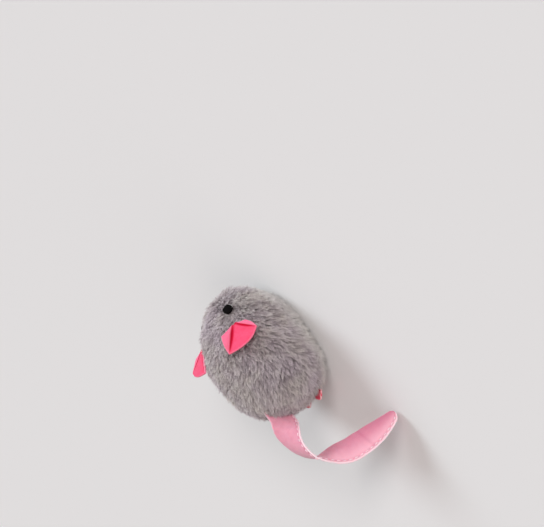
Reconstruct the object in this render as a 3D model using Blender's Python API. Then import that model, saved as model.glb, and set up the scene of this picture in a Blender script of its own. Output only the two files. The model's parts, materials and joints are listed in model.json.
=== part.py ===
"""A plush mouse for cats, with a motion-triggered sound module in its stuffing.

Metres, +Z up. The mouse lies on its flat belly and looks along -Y, so its right side is -X.
The origin is on the belly's flat base, under the widest section of the body.
"""

import math

import bmesh
import bpy
from mathutils import Matrix, Vector

# Gaps and finish
CLEARANCE = 0.0003
OVERRUN = 0.005
SHARP_DEGREES = 35.0

# Plush body, measured to the middle of its pile
BODY_LENGTH = 0.0552
BODY_DIAMETER = 0.0408
AXIS_HEIGHT = 0.0170
HEAD_DROP = 0.0030
WIDEST_SHARE = 0.477
NOSE_POWER = 1.85
RUMP_POWER = 3.0
BODY_RINGS = 20
BODY_SIDES = 32
NORMAL_STEP_SHARE = 0.0025
NORMAL_STEP_DEGREES = 1.0
FUR_THICKNESS = 0.0040
BELLY_THICKNESS = 0.0020

# Ears
EAR_LENGTH = 0.0114
EAR_THICKNESS = 0.0010
EAR_HINGE_RISE = 0.0004
EAR_STATION_SHARE = 0.2283
EAR_STATION = BODY_LENGTH * EAR_STATION_SHARE
EAR_SIDE_DEGREES = 55.0
EAR_ROOT_SHARE = 0.13
EAR_ROWS = 5
# The rim, from the flap at the back line to the flap at the belly: shares of the length that it
# lies backward, towards the back line, and outward of the root
EAR_RIM_SHARES = (
    (-0.07, 0.61, 0.32),
    (0.12, 0.70, 0.46),
    (0.32, 0.75, 0.58),
    (0.60, 0.77, 0.69),
    (0.66, 0.42, 0.75),
    (0.67, 0.05, 0.77),
    (0.60, -0.30, 0.75),
    (0.42, -0.61, 0.67),
    (0.22, -0.57, 0.52),
    (0.09, -0.50, 0.41),
    (-0.01, -0.41, 0.30),
)

# Eyes
EYE_WIDTH = 0.0042
EYE_EDGE = 0.0006
EYE_DOME = 0.0007
EYE_STATION_SHARE = 0.3605
EYE_STATION = BODY_LENGTH * EYE_STATION_SHARE
EYE_SIDE_DEGREES = 58.0
EYE_SQUARENESS = 2.8
EYE_SIDES = 20
EYE_DOME_RINGS = 4

# Hind feet
FOOT_WIDTH = 0.0066
FOOT_REACH = 0.0042
FOOT_THICKNESS = 0.0011
FOOT_SPREAD = 0.0100
FOOT_HEIGHT = 0.0094
FOOT_TILT_DEGREES = 24.0
FOOT_GAP = 0.0005
FOOT_TIP_POINTS = 9
FOOT_TIP_SHARE = 0.45

# Tail ribbon
TAIL_WIDTH = 0.0120
TAIL_THICKNESS = 0.0010
TAIL_REACH = 0.0292
TAIL_SIDE = 0.0262
TAIL_DROP = 0.0284
TAIL_ROOT_HEIGHT = 0.0290
TAIL_ROOT_GAP = 0.0008
TAIL_LEAN_DEGREES = 33.0
TAIL_STEPS = 5
# Each row: back share of the reach, side share, share of the drop, roll in degrees, width share,
# the share of that width which is left where the ribbon is gathered, and its cup's depth share
TAIL_ROW_SHARES = (
    (-0.27, 0.00, 0.00, -33.0, 1.00, 0.80, 0.02),
    (-0.08, 0.00, 0.00, -30.0, 1.00, 0.84, 0.03),
    (0.04, 0.04, -0.03, -12.0, 1.00, 0.90, 0.05),
    (0.17, 0.06, -0.08, 20.0, 1.00, 0.87, 0.10),
    (0.30, 0.07, -0.10, 45.0, 1.00, 0.88, 0.09),
    (0.43, 0.09, -0.09, 63.0, 1.00, 0.91, 0.08),
    (0.56, 0.13, -0.06, 76.0, 1.00, 0.95, 0.05),
    (0.66, 0.17, -0.01, 90.0, 1.00, 0.98, 0.02),
    (0.73, 0.23, 0.08, 110.0, 1.00, 1.00, -0.03),
    (0.80, 0.31, 0.20, 130.0, 1.00, 1.00, -0.09),
    (0.87, 0.44, 0.34, 144.0, 1.00, 1.00, -0.10),
    (0.90, 0.62, 0.51, 147.0, 0.98, 1.00, -0.11),
    (0.91, 0.81, 0.67, 144.0, 0.88, 1.00, -0.12),
    (0.89, 0.95, 0.82, 143.0, 0.66, 1.00, -0.09),
    (0.86, 1.00, 0.93, 145.0, 0.42, 1.00, -0.06),
    (0.85, 1.02, 0.97, 147.0, 0.15, 1.00, 0.00),
)
# Places across the ribbon, from its lower hem to its upper one
TAIL_ACROSS_SHARES = (1.0, 0.5, 0.0, -0.5, -1.0)
THREAD_DIAMETER = 0.0005
THREAD_INSET = 0.0012
THREAD_SIDES = 6
THREAD_END_SHARE = 0.4

# Sound module, lying level in the stuffing
MODULE_STATION = 0.0010
CASE_DIAMETER = 0.0250
CASE_WALL = 0.0012
CASE_HEIGHT = 0.0135
LOWER_CASE_HEIGHT_SHARE = 0.5185
LOWER_CASE_HEIGHT = CASE_HEIGHT * LOWER_CASE_HEIGHT_SHARE
CASE_SIDES = 40
ROOM_DIAMETER = CASE_DIAMETER - 2 * CASE_WALL
BOARD_GAP = 0.0004
BOSS_RING_SHARE = 0.4248
BOSS_RING = ROOM_DIAMETER * BOSS_RING_SHARE
BOSS_DIAMETER_SHARE = 0.1416
BOSS_DIAMETER = ROOM_DIAMETER * BOSS_DIAMETER_SHARE
BOSS_HEIGHT_SHARE = 0.0889
BOSS_HEIGHT = CASE_HEIGHT * BOSS_HEIGHT_SHARE
SMALL_SIDES = 16
SCREW_DIAMETER_SHARE = 0.0531
SCREW_DIAMETER = ROOM_DIAMETER * SCREW_DIAMETER_SHARE
SCREW_HEAD_DIAMETER_SHARE = 0.0885
SCREW_HEAD_DIAMETER = ROOM_DIAMETER * SCREW_HEAD_DIAMETER_SHARE
SCREW_HEAD_HEIGHT_SHARE = 0.0519
SCREW_HEAD_HEIGHT = CASE_HEIGHT * SCREW_HEAD_HEIGHT_SHARE
SCREW_LENGTH_SHARE = 0.5926
SCREW_LENGTH = CASE_HEIGHT * SCREW_LENGTH_SHARE
SCREW_HOLE_DEPTH_SHARE = 0.6667
SCREW_HOLE_DEPTH = CASE_HEIGHT * SCREW_HOLE_DEPTH_SHARE
BOARD_DIAMETER = ROOM_DIAMETER - 2 * BOARD_GAP
BOARD_THICKNESS_SHARE = 0.0593
BOARD_THICKNESS = CASE_HEIGHT * BOARD_THICKNESS_SHARE
SOUND_HOLE_DIAMETER_SHARE = 0.0619
SOUND_HOLE_DIAMETER = ROOM_DIAMETER * SOUND_HOLE_DIAMETER_SHARE
SOUND_HOLE_RING_SHARE = 0.177
SOUND_HOLE_RING = ROOM_DIAMETER * SOUND_HOLE_RING_SHARE
SOUND_HOLES = 6
RIB_HEIGHT = 0.0003
RIB_WIDTH_SHARE = 0.0442
RIB_WIDTH = ROOM_DIAMETER * RIB_WIDTH_SHARE

# Button cells and their contacts
CELL_DIAMETER_SHARE = 0.3496
CELL_DIAMETER = ROOM_DIAMETER * CELL_DIAMETER_SHARE
CELL_THICKNESS_SHARE = 0.2667
CELL_THICKNESS = CASE_HEIGHT * CELL_THICKNESS_SHARE
CELL_RING_SHARE = 0.2124
CELL_RING = ROOM_DIAMETER * CELL_RING_SHARE
CELL_RIM_SHARE = 0.0296
CELL_RIM = CASE_HEIGHT * CELL_RIM_SHARE
CELL_CAP_DIAMETER_SHARE = 0.2832
CELL_CAP_DIAMETER = ROOM_DIAMETER * CELL_CAP_DIAMETER_SHARE
CELL_ANGLES = (90.0, 210.0, 330.0)
CONTACT_THICKNESS = 0.0003
CONTACT_DIAMETER_SHARE = 0.2212
CONTACT_DIAMETER = ROOM_DIAMETER * CONTACT_DIAMETER_SHARE
CONTACT_NECK_SHARE = 0.115
CONTACT_NECK = ROOM_DIAMETER * CONTACT_NECK_SHARE
CONTACT_LEG_WIDTH_SHARE = 0.0885
CONTACT_LEG_WIDTH = ROOM_DIAMETER * CONTACT_LEG_WIDTH_SHARE

# Board components
CHIP_DIAMETER_SHARE = 0.1947
CHIP_DIAMETER = ROOM_DIAMETER * CHIP_DIAMETER_SHARE
CHIP_HEIGHT_SHARE = 0.0963
CHIP_HEIGHT = CASE_HEIGHT * CHIP_HEIGHT_SHARE
CHIP_RING_SHARE = 0.3805
CHIP_RING = ROOM_DIAMETER * CHIP_RING_SHARE
CHIP_ANGLE = 150.0
CHIP_DOME_RINGS = 5
CAPACITOR_DIAMETER_SHARE = 0.1327
CAPACITOR_DIAMETER = ROOM_DIAMETER * CAPACITOR_DIAMETER_SHARE
CAPACITOR_HEIGHT_SHARE = 0.3333
CAPACITOR_HEIGHT = CASE_HEIGHT * CAPACITOR_HEIGHT_SHARE
CAPACITOR_EDGE = 0.0002
CAPACITOR_ANGLE = 30.0
RESISTOR_LENGTH_SHARE = 0.0885
RESISTOR_LENGTH = ROOM_DIAMETER * RESISTOR_LENGTH_SHARE
RESISTOR_WIDTH_SHARE = 0.0531
RESISTOR_WIDTH = ROOM_DIAMETER * RESISTOR_WIDTH_SHARE
RESISTOR_HEIGHT_SHARE = 0.0444
RESISTOR_HEIGHT = CASE_HEIGHT * RESISTOR_HEIGHT_SHARE
RESISTOR_RING_SHARE = 0.4159
RESISTOR_RING = ROOM_DIAMETER * RESISTOR_RING_SHARE
RESISTOR_ANGLE = 242.0

# Piezo sounder
PIEZO_DIAMETER_SHARE = 0.6637
PIEZO_DIAMETER = ROOM_DIAMETER * PIEZO_DIAMETER_SHARE
PIEZO_THICKNESS = 0.0003
CERAMIC_DIAMETER_SHARE = 0.4867
CERAMIC_DIAMETER = ROOM_DIAMETER * CERAMIC_DIAMETER_SHARE
CERAMIC_THICKNESS = 0.0003
WIRE_DIAMETER_SHARE = 0.0265
WIRE_DIAMETER = ROOM_DIAMETER * WIRE_DIAMETER_SHARE
WIRE_SIDES_RESOLUTION = 2
WIRE_FOOT_RING_SHARE = 0.4336
WIRE_FOOT_RING = ROOM_DIAMETER * WIRE_FOOT_RING_SHARE
WIRE_FOOT_ANGLES = (298.0, 316.0)
WIRE_HEAD_RING_SHARES = (0.177, 0.3009)
WIRE_HEAD_RINGS = [ROOM_DIAMETER * share for share in WIRE_HEAD_RING_SHARES]
WIRE_RUN_DROP_SHARE = 0.0741
WIRE_RUN_DROP = CASE_HEIGHT * WIRE_RUN_DROP_SHARE
WIRE_STEPS = 5

# Motion switch
SWITCH_RING_SHARE = 0.3982
SWITCH_RING = ROOM_DIAMETER * SWITCH_RING_SHARE
SWITCH_ANGLE = 270.0
SWITCH_DIAMETER_SHARE = 0.1416
SWITCH_DIAMETER = ROOM_DIAMETER * SWITCH_DIAMETER_SHARE
SWITCH_WALL = 0.0004
SWITCH_HEIGHT_SHARE = 0.3704
SWITCH_HEIGHT = CASE_HEIGHT * SWITCH_HEIGHT_SHARE
SWITCH_FLANGE = 0.0005
SWITCH_PLUG = 0.0006
BALL_DIAMETER_SHARE = 0.0796
BALL_DIAMETER = ROOM_DIAMETER * BALL_DIAMETER_SHARE
BALL_RINGS = 8

# Heights inside the module, counted from its underside
BOARD_BOTTOM = CASE_WALL + BOSS_HEIGHT + CLEARANCE
BOARD_TOP = BOARD_BOTTOM + BOARD_THICKNESS
ON_BOARD = BOARD_TOP + CLEARANCE
CELL_BOTTOM = ON_BOARD + CONTACT_THICKNESS + CLEARANCE
CELL_TOP = CELL_BOTTOM + CELL_THICKNESS
UPPER_CONTACT_BOTTOM = CELL_TOP + CLEARANCE
UPPER_CONTACT_TOP = UPPER_CONTACT_BOTTOM + CONTACT_THICKNESS
ROOF_BOTTOM = CASE_HEIGHT - CASE_WALL
PIEZO_TOP = ROOF_BOTTOM - RIB_HEIGHT - CLEARANCE
PIEZO_BOTTOM = PIEZO_TOP - PIEZO_THICKNESS
CERAMIC_TOP = PIEZO_BOTTOM - CLEARANCE
CERAMIC_BOTTOM = CERAMIC_TOP - CERAMIC_THICKNESS

MODULE_ORIGIN = Vector((0, MODULE_STATION, AXIS_HEIGHT - CASE_HEIGHT / 2))
SIDES = {"right": -1, "left": 1}


def material(name, colour, roughness, metallic=0):
    """A Principled material with one colour, roughness and metallic value."""
    made = bpy.data.materials.new(name)
    made.use_nodes = True
    shader = made.node_tree.nodes["Principled BSDF"]
    shader.inputs["Base Color"].default_value = (*colour, 1)
    shader.inputs["Roughness"].default_value = roughness
    shader.inputs["Metallic"].default_value = metallic
    made.diffuse_color = (*colour, 1)
    return made


def add_mesh(name, points, faces):
    """A new object from points and faces, with its normals turned outwards."""
    mesh = bpy.data.meshes.new(name)
    mesh.from_pydata([tuple(point) for point in points], [], faces)
    work = bmesh.new()
    work.from_mesh(mesh)
    bmesh.ops.recalc_face_normals(work, faces=work.faces)
    work.to_mesh(mesh)
    work.free()
    made = bpy.data.objects.new(name, mesh)
    bpy.context.collection.objects.link(made)
    return made


def finish(piece, made_of, parent=None):
    """Gives a piece its material, smooth round faces and a parent."""
    piece.data.materials.clear()
    piece.data.materials.append(made_of)
    if piece.type == "MESH":
        piece.data.shade_smooth()
        piece.data.set_sharp_from_angle(angle=math.radians(SHARP_DEGREES))
    piece.parent = parent
    return piece


def combine(piece, other, operation):
    """Joins, cuts or intersects a piece with another one, which is used up."""
    modifier = piece.modifiers.new(operation.title(), "BOOLEAN")
    modifier.operation = operation
    modifier.solver = "EXACT"
    modifier.object = other
    depsgraph = bpy.context.evaluated_depsgraph_get()
    result = bpy.data.meshes.new_from_object(piece.evaluated_get(depsgraph))
    piece.modifiers.clear()
    piece.data = result
    bpy.data.objects.remove(other)
    return piece


def gather(pieces):
    """One object from several that don't touch, to join or cut in one step."""
    work = bmesh.new()
    for piece in pieces:
        work.from_mesh(piece.data)
    for extra in pieces[1:]:
        bpy.data.objects.remove(extra)
    work.to_mesh(pieces[0].data)
    work.free()
    return pieces[0]


def box(low, high):
    """A plain block between two corners."""
    points = [(x, y, z) for x in (low[0], high[0]) for y in (low[1], high[1]) for z in (low[2], high[2])]
    faces = [(0, 1, 3, 2), (4, 6, 7, 5), (0, 4, 5, 1), (2, 3, 7, 6), (0, 2, 6, 4), (1, 5, 7, 3)]
    return add_mesh("block", points, faces)


def stack(name, rings):
    """A closed solid through rings of equally many points; a ring of one point is a tip."""
    points = [point for ring in rings for point in ring]
    starts = [sum(len(ring) for ring in rings[:i]) for i in range(len(rings))]
    faces = []
    for i in range(len(rings) - 1):
        lower, upper = starts[i], starts[i + 1]
        sides = max(len(rings[i]), len(rings[i + 1]))
        for j in range(sides):
            k = (j + 1) % sides
            corners = [lower + j % len(rings[i]), lower + k % len(rings[i]),
                       upper + k % len(rings[i + 1]), upper + j % len(rings[i + 1])]
            faces.append(list(dict.fromkeys(corners)))
    for start, ring in ((starts[0], rings[0]), (starts[-1], rings[-1])):
        if len(ring) > 1:
            faces.append([start + j for j in range(len(ring))])
    return add_mesh(name, points, faces)


def turned(name, profile, sides, centre=(0, 0)):
    """A solid of revolution about a vertical axis, from (radius, height) pairs."""
    rings = []
    for radius, height in profile:
        if radius == 0:
            rings.append([(centre[0], centre[1], height)])
            continue
        ring = []
        for j in range(sides):
            turn = math.tau * j / sides
            ring.append((centre[0] + radius * math.cos(turn), centre[1] + radius * math.sin(turn), height))
        rings.append(ring)
    return stack(name, rings)


def drum(name, diameter, bottom, top, sides, centre=(0, 0)):
    """A plain upright cylinder."""
    return turned(name, [(diameter / 2, bottom), (diameter / 2, top)], sides, centre)


def polar(ring, degrees):
    """A point on a circle round the module's axis."""
    return (ring * math.cos(math.radians(degrees)), ring * math.sin(math.radians(degrees)))


def body_section(station, inset):
    """Radius and centre height of the round body section at a place along Y."""
    nose_half = BODY_LENGTH * WIDEST_SHARE
    half = (nose_half if station < 0 else BODY_LENGTH - nose_half) - inset
    power = NOSE_POWER if station < 0 else RUMP_POWER
    share = min(abs(station) / half, 1)
    radius = (BODY_DIAMETER / 2 - inset) * math.sqrt(1 - share**power)
    drop = HEAD_DROP * share**2 if station < 0 else 0
    return radius, AXIS_HEIGHT - drop


def body_point(station, degrees, side, inset=0):
    """A point of the body's surface, at an angle from the back line towards one side."""
    radius, centre = body_section(station, inset)
    angle = math.radians(degrees)
    return Vector((side * radius * math.sin(angle), station, centre + radius * math.cos(angle)))


def body_normal(station, degrees, side):
    """The outward direction of the body's surface there."""
    step = BODY_DIAMETER * NORMAL_STEP_SHARE
    along = body_point(station + step, degrees, side) - body_point(station - step, degrees, side)
    turn = NORMAL_STEP_DEGREES
    around = body_point(station, degrees + turn, side) - body_point(station, degrees - turn, side)
    normal = along.cross(around).normalized()
    outward = body_point(station, degrees, side) - Vector((0, station, body_section(station, 0)[1]))
    return normal if normal.dot(outward) > 0 else -normal


def egg(inset):
    """The whole body form, made smaller all round by an inset."""
    nose_half = BODY_LENGTH * WIDEST_SHARE - inset
    rump_half = BODY_LENGTH - BODY_LENGTH * WIDEST_SHARE - inset
    rings = []
    for i in range(BODY_RINGS + 1):
        share = -math.cos(math.pi * i / BODY_RINGS)
        station = share * (nose_half if share < 0 else rump_half)
        radius, centre = body_section(station, inset)
        if i in (0, BODY_RINGS):
            rings.append([(0, station, centre)])
            continue
        turns = [math.tau * (j + 1 / 2) / BODY_SIDES for j in range(BODY_SIDES)]
        rings.append([(radius * math.sin(a), station, centre + radius * math.cos(a)) for a in turns])
    return stack("egg", rings)


def body_block(low_x, high_x, low_y, high_y, low_z, high_z):
    """A block that keeps one region of the body; None stands for beyond the body."""
    reach = BODY_LENGTH
    low = [-reach if value is None else value for value in (low_x, low_y, low_z)]
    high = [reach if value is None else value for value in (high_x, high_y, high_z)]
    return box(low, high)


def fur_panel(name, side, made_of):
    """Half of the plush skin, from the back seam down to the belly seam."""
    panel = combine(egg(0), egg(FUR_THICKNESS), "DIFFERENCE")
    seam = BELLY_THICKNESS + CLEARANCE
    if side > 0:
        keep = body_block(CLEARANCE / 2, None, None, None, seam, None)
    else:
        keep = body_block(None, -CLEARANCE / 2, None, None, seam, None)
    panel = combine(panel, keep, "INTERSECT")
    panel.name = name
    return finish(panel, made_of)


def belly_panel(made_of):
    """The base: the body's underside, cut flat where the mouse lies on it."""
    panel = combine(egg(0), body_block(None, None, None, None, 0, BELLY_THICKNESS), "INTERSECT")
    panel.name = "belly_panel"
    return finish(panel, made_of)


def stuffing(name, front, made_of):
    """Half of the wadding, with half of the pocket that holds the sound module."""
    wad = egg(FUR_THICKNESS + CLEARANCE)
    floor = BELLY_THICKNESS + CLEARANCE
    if front:
        keep = body_block(None, None, None, MODULE_STATION - CLEARANCE / 2, floor, None)
    else:
        keep = body_block(None, None, MODULE_STATION + CLEARANCE / 2, None, floor, None)
    wad = combine(wad, keep, "INTERSECT")
    bottom = MODULE_ORIGIN.z - CLEARANCE
    top = MODULE_ORIGIN.z + CASE_HEIGHT + CLEARANCE
    pocket = drum("pocket", CASE_DIAMETER + 2 * CLEARANCE, bottom, top, CASE_SIDES, (0, MODULE_STATION))
    wad = combine(wad, pocket, "DIFFERENCE")
    wad.name = name
    return finish(wad, made_of)


def ear_frame(side):
    """The ear's hinge point and its directions: backward, towards the back line, and outward."""
    turn = math.radians(EAR_SIDE_DEGREES)
    outward = Vector((side * math.sin(turn), 0, math.cos(turn)))
    upward = Vector((-side * math.cos(turn), 0, math.sin(turn)))
    hinge = body_point(-EAR_STATION, EAR_SIDE_DEGREES, side) + outward * EAR_HINGE_RISE
    return hinge, Vector((0, 1, 0)), upward, outward


def ear(name, side, made_of):
    """A felt petal with two folds: a back panel and a flap on each side, pinched at the root."""
    hinge, backward, upward, outward = ear_frame(side)
    rim = [EAR_LENGTH * (backward * a + upward * b + outward * c) for a, b, c in EAR_RIM_SHARES]
    last = len(rim) - 1
    normals = []
    for i, point in enumerate(rim):
        along = rim[min(i + 1, last)] - rim[max(i - 1, 0)]
        normals.append(along.cross(point).normalized())
    rings = []
    for j in range(EAR_ROWS + 1):
        reach = EAR_ROOT_SHARE + (1 - EAR_ROOT_SHARE) * j / EAR_ROWS
        inner = [point * reach - normal * EAR_THICKNESS / 2 for point, normal in zip(rim, normals)]
        outer = [point * reach + normal * EAR_THICKNESS / 2 for point, normal in zip(rim, normals)]
        rings.append(inner + outer[::-1])
    petal = stack(name, rings)
    petal.location = hinge
    return finish(petal, made_of)


def eye(name, side, made_of):
    """A low, slightly square dome that lies on the fur."""
    normal = body_normal(-EYE_STATION, EYE_SIDE_DEGREES, side)
    seat = body_point(-EYE_STATION, EYE_SIDE_DEGREES, side) + normal * CLEARANCE
    rings = []
    levels = [(1, 0), (1, EYE_EDGE)]
    for i in range(1, EYE_DOME_RINGS):
        turn = math.pi / 2 * i / EYE_DOME_RINGS
        levels.append((math.cos(turn), EYE_EDGE + EYE_DOME * math.sin(turn)))
    for share, height in levels:
        ring = []
        for j in range(EYE_SIDES):
            turn = math.tau * j / EYE_SIDES
            bulge = abs(math.cos(turn)) ** EYE_SQUARENESS + abs(math.sin(turn)) ** EYE_SQUARENESS
            radius = EYE_WIDTH / 2 * share * bulge ** (-1 / EYE_SQUARENESS)
            ring.append((radius * math.cos(turn), radius * math.sin(turn), height))
        rings.append(ring)
    rings.append([(0, 0, EYE_EDGE + EYE_DOME)])
    dome = stack(name, rings)
    dome.rotation_mode = "QUATERNION"
    dome.rotation_quaternion = normal.to_track_quat("Z", "Y")
    dome.location = seat
    return finish(dome, made_of)


def rump_station(height, offset, inset=0):
    """How far back the rump's surface lies at a height and a distance from the middle."""
    radius = math.hypot(height - AXIS_HEIGHT, offset)
    share = 1 - (radius / (BODY_DIAMETER / 2 - inset)) ** 2
    return (BODY_LENGTH - BODY_LENGTH * WIDEST_SHARE - inset) * share ** (1 / RUMP_POWER)


def foot_hinge(side):
    """The place where a foot's tab leaves the rump."""
    offset = side * FOOT_SPREAD / 2
    return Vector((offset, rump_station(FOOT_HEIGHT, offset) + FOOT_GAP, FOOT_HEIGHT))


def foot(name, side, made_of):
    """A felt tab with a rounded tip, sewn in at the rump and pointing back and up."""
    straight = FOOT_REACH * (1 - FOOT_TIP_SHARE)
    outline = [(-FOOT_WIDTH / 2, -FOOT_REACH), (FOOT_WIDTH / 2, -FOOT_REACH)]
    for i in range(FOOT_TIP_POINTS):
        turn = math.pi * i / (FOOT_TIP_POINTS - 1)
        bulge = FOOT_REACH * FOOT_TIP_SHARE * math.sin(turn)
        outline.append((FOOT_WIDTH / 2 * math.cos(turn), straight + bulge))
    rings = [[(x, y, face * FOOT_THICKNESS / 2) for x, y in outline] for face in (-1, 1)]
    tab = stack(name, rings)
    place = Matrix.Translation(foot_hinge(side)) @ Matrix.Rotation(math.radians(FOOT_TILT_DEGREES), 4, "X")
    tab.data.transform(place)
    tab = combine(tab, egg(-FOOT_GAP), "DIFFERENCE")
    tab.data.transform(Matrix.Translation(-foot_hinge(side)))
    tab.location = foot_hinge(side)
    return finish(tab, made_of)


def tail_hinge():
    """The upright line at the rump about which the tail swings."""
    lowest = TAIL_ROOT_HEIGHT - TAIL_WIDTH / 2
    return Vector((0, rump_station(lowest, 0) + TAIL_ROOT_GAP, TAIL_ROOT_HEIGHT))


def catmull_rom(rows, steps):
    """Rows of numbers on a smooth curve through the given rows."""
    padded = [rows[0], *rows, rows[-1]]
    smooth = []
    for i in range(len(rows) - 1):
        a, b, c, d = padded[i : i + 4]
        for j in range(steps):
            t = j / steps
            row = []
            for p, q, r, s in zip(a, b, c, d):
                cubic = (3 * (q - r) + s - p) * t**3 + (2 * p - 5 * q + 4 * r - s) * t**2
                row.append((cubic + (r - p) * t) / 2 + q)
            smooth.append(row)
    smooth.append(list(rows[-1]))
    return smooth


def tail_stations():
    """Along the tail: centre, width direction, normal, width, share left of it and cup."""
    hinge = tail_hinge()
    lean = math.radians(TAIL_LEAN_DEGREES)
    facing = Vector((-math.cos(lean), 0, math.sin(lean)))
    rows = catmull_rom(TAIL_ROW_SHARES, TAIL_STEPS)
    centres = [
        hinge + Vector((-TAIL_SIDE * side, TAIL_REACH * back, -TAIL_DROP * drop))
        for back, side, drop, *_ in rows
    ]
    stations = []
    for i, (_, _, _, roll, width, left, cup) in enumerate(rows):
        tangent = (centres[min(i + 1, len(rows) - 1)] - centres[max(i - 1, 0)]).normalized()
        across = facing.cross(tangent).normalized()
        upright = tangent.cross(across).normalized()
        turn = math.radians(roll)
        direction = across * math.cos(turn) + upright * math.sin(turn)
        normal = tangent.cross(direction).normalized()
        stations.append((centres[i], direction, normal, TAIL_WIDTH * width, left, cup))
    return stations


def tail_place(station, across):
    """A point on the ribbon's middle surface, with across going from 1 at its lower hem to -1."""
    centre, direction, normal, width, left, cup = station
    hem = centre + direction * width / 2
    return hem - direction * width * left * (1 - across) / 2 + normal * width * cup * (1 - across**2)


def tail_ribbon(made_of):
    """The ribbon: gathered where it leaves the rump upright, it rolls over, cups and comes down."""
    rings = []
    for station in tail_stations():
        up = station[2] * TAIL_THICKNESS / 2
        line = [tail_place(station, across) for across in TAIL_ACROSS_SHARES]
        rings.append([place + up for place in line] + [place - up for place in line[::-1]])
    ribbon = stack("tail_ribbon", rings)
    ribbon = combine(ribbon, egg(-TAIL_ROOT_GAP), "DIFFERENCE")
    ribbon.name = "tail_ribbon"
    ribbon.data.transform(Matrix.Translation(-tail_hinge()))
    ribbon.location = tail_hinge()
    return finish(ribbon, made_of)


def tail_stitching(made_of):
    """The sewing thread that runs along the ribbon's lower edge."""
    rings = []
    lift = TAIL_THICKNESS / 2 + CLEARANCE + THREAD_DIAMETER / 2
    for station in tail_stations():
        centre, direction, normal, width, left, _ = station
        if width < TAIL_WIDTH * THREAD_END_SHARE or centre.y < tail_hinge().y:
            continue
        middle = tail_place(station, 1 - 2 * THREAD_INSET / (width * left)) + normal * lift
        ring = []
        for j in range(THREAD_SIDES):
            turn = math.tau * j / THREAD_SIDES
            ring.append(middle + (direction * math.cos(turn) + normal * math.sin(turn)) * THREAD_DIAMETER / 2)
        rings.append([point - tail_hinge() for point in ring])
    thread = stack("tail_stitching", rings)
    thread.location = tail_hinge()
    return finish(thread, made_of)


def screw_places():
    """The two places on the module where its screws stand."""
    return ((BOSS_RING, 0), (-BOSS_RING, 0))


def case_lower(made_of, parent):
    """The lower cup, with the two bosses that carry the circuit board."""
    radius = CASE_DIAMETER / 2
    inner = radius - CASE_WALL
    profile = [(0, 0), (radius, 0), (radius, LOWER_CASE_HEIGHT), (inner, LOWER_CASE_HEIGHT),
               (inner, CASE_WALL), (0, CASE_WALL)]
    cup = turned("module_case_lower", profile, CASE_SIDES)
    bosses = [
        drum("boss", BOSS_DIAMETER, CASE_WALL / 2, CASE_WALL + BOSS_HEIGHT, SMALL_SIDES, place)
        for place in screw_places()
    ]
    cup = combine(cup, gather(bosses), "UNION")
    sink = SCREW_HEAD_DIAMETER / 2 + CLEARANCE
    hole = SCREW_DIAMETER / 2 + CLEARANCE
    step = SCREW_HEAD_HEIGHT + 2 * CLEARANCE
    bore = [(0, -OVERRUN), (sink, -OVERRUN), (sink, step), (hole, step), (hole, OVERRUN), (0, OVERRUN)]
    bores = [turned("bore", bore, SMALL_SIDES, place) for place in screw_places()]
    cup = combine(cup, gather(bores), "DIFFERENCE")
    cup.name = "module_case_lower"
    return finish(cup, made_of, parent)


def case_upper(made_of, parent):
    """The upper cup, with its sound holes, the sounder's rib and the screws' bosses."""
    radius = CASE_DIAMETER / 2
    inner = radius - CASE_WALL
    rim = LOWER_CASE_HEIGHT + CLEARANCE
    rib_outer = PIEZO_DIAMETER / 2
    rib_inner = rib_outer - RIB_WIDTH
    rib_bottom = ROOF_BOTTOM - RIB_HEIGHT
    profile = [(0, ROOF_BOTTOM), (rib_inner, ROOF_BOTTOM), (rib_inner, rib_bottom), (rib_outer, rib_bottom),
               (rib_outer, ROOF_BOTTOM), (inner, ROOF_BOTTOM), (inner, rim), (radius, rim),
               (radius, CASE_HEIGHT), (0, CASE_HEIGHT)]
    cup = turned("module_case_upper", profile, CASE_SIDES)
    bosses = [
        drum("boss", BOSS_DIAMETER, ON_BOARD, ROOF_BOTTOM + CASE_WALL / 2, SMALL_SIDES, place)
        for place in screw_places()
    ]
    cup = combine(cup, gather(bosses), "UNION")
    hole_diameter = SCREW_DIAMETER + 2 * CLEARANCE
    holes = [
        drum("hole", hole_diameter, BOARD_BOTTOM, SCREW_HOLE_DEPTH, SMALL_SIDES, place)
        for place in screw_places()
    ]
    for i in range(SOUND_HOLES + 1):
        place = polar(SOUND_HOLE_RING, 360 * i / SOUND_HOLES) if i < SOUND_HOLES else (0, 0)
        holes.append(drum("hole", SOUND_HOLE_DIAMETER, PIEZO_TOP, CASE_HEIGHT + OVERRUN, SMALL_SIDES, place))
    cup = combine(cup, gather(holes), "DIFFERENCE")
    cup.name = "module_case_upper"
    return finish(cup, made_of, parent)


def case_screw(name, place, made_of, parent):
    """A small self-tapping screw, put in from below."""
    head, shank = SCREW_HEAD_DIAMETER / 2, SCREW_DIAMETER / 2
    start = CLEARANCE
    tip = start + SCREW_LENGTH
    profile = [(0, start), (head, start), (head, start + SCREW_HEAD_HEIGHT),
               (shank, start + SCREW_HEAD_HEIGHT), (shank, tip - shank), (0, tip)]
    return finish(turned(name, profile, SMALL_SIDES, place), made_of, parent)


def circuit_board(made_of, parent):
    """The round board, clamped between the two cases at the screws."""
    board = drum("circuit_board", BOARD_DIAMETER, BOARD_BOTTOM, BOARD_TOP, CASE_SIDES)
    hole_diameter = SCREW_DIAMETER + 2 * CLEARANCE
    holes = [
        drum("hole", hole_diameter, -OVERRUN, CASE_HEIGHT, SMALL_SIDES, place)
        for place in screw_places()
    ]
    board = combine(board, gather(holes), "DIFFERENCE")
    board.name = "circuit_board"
    return finish(board, made_of, parent)


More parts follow.
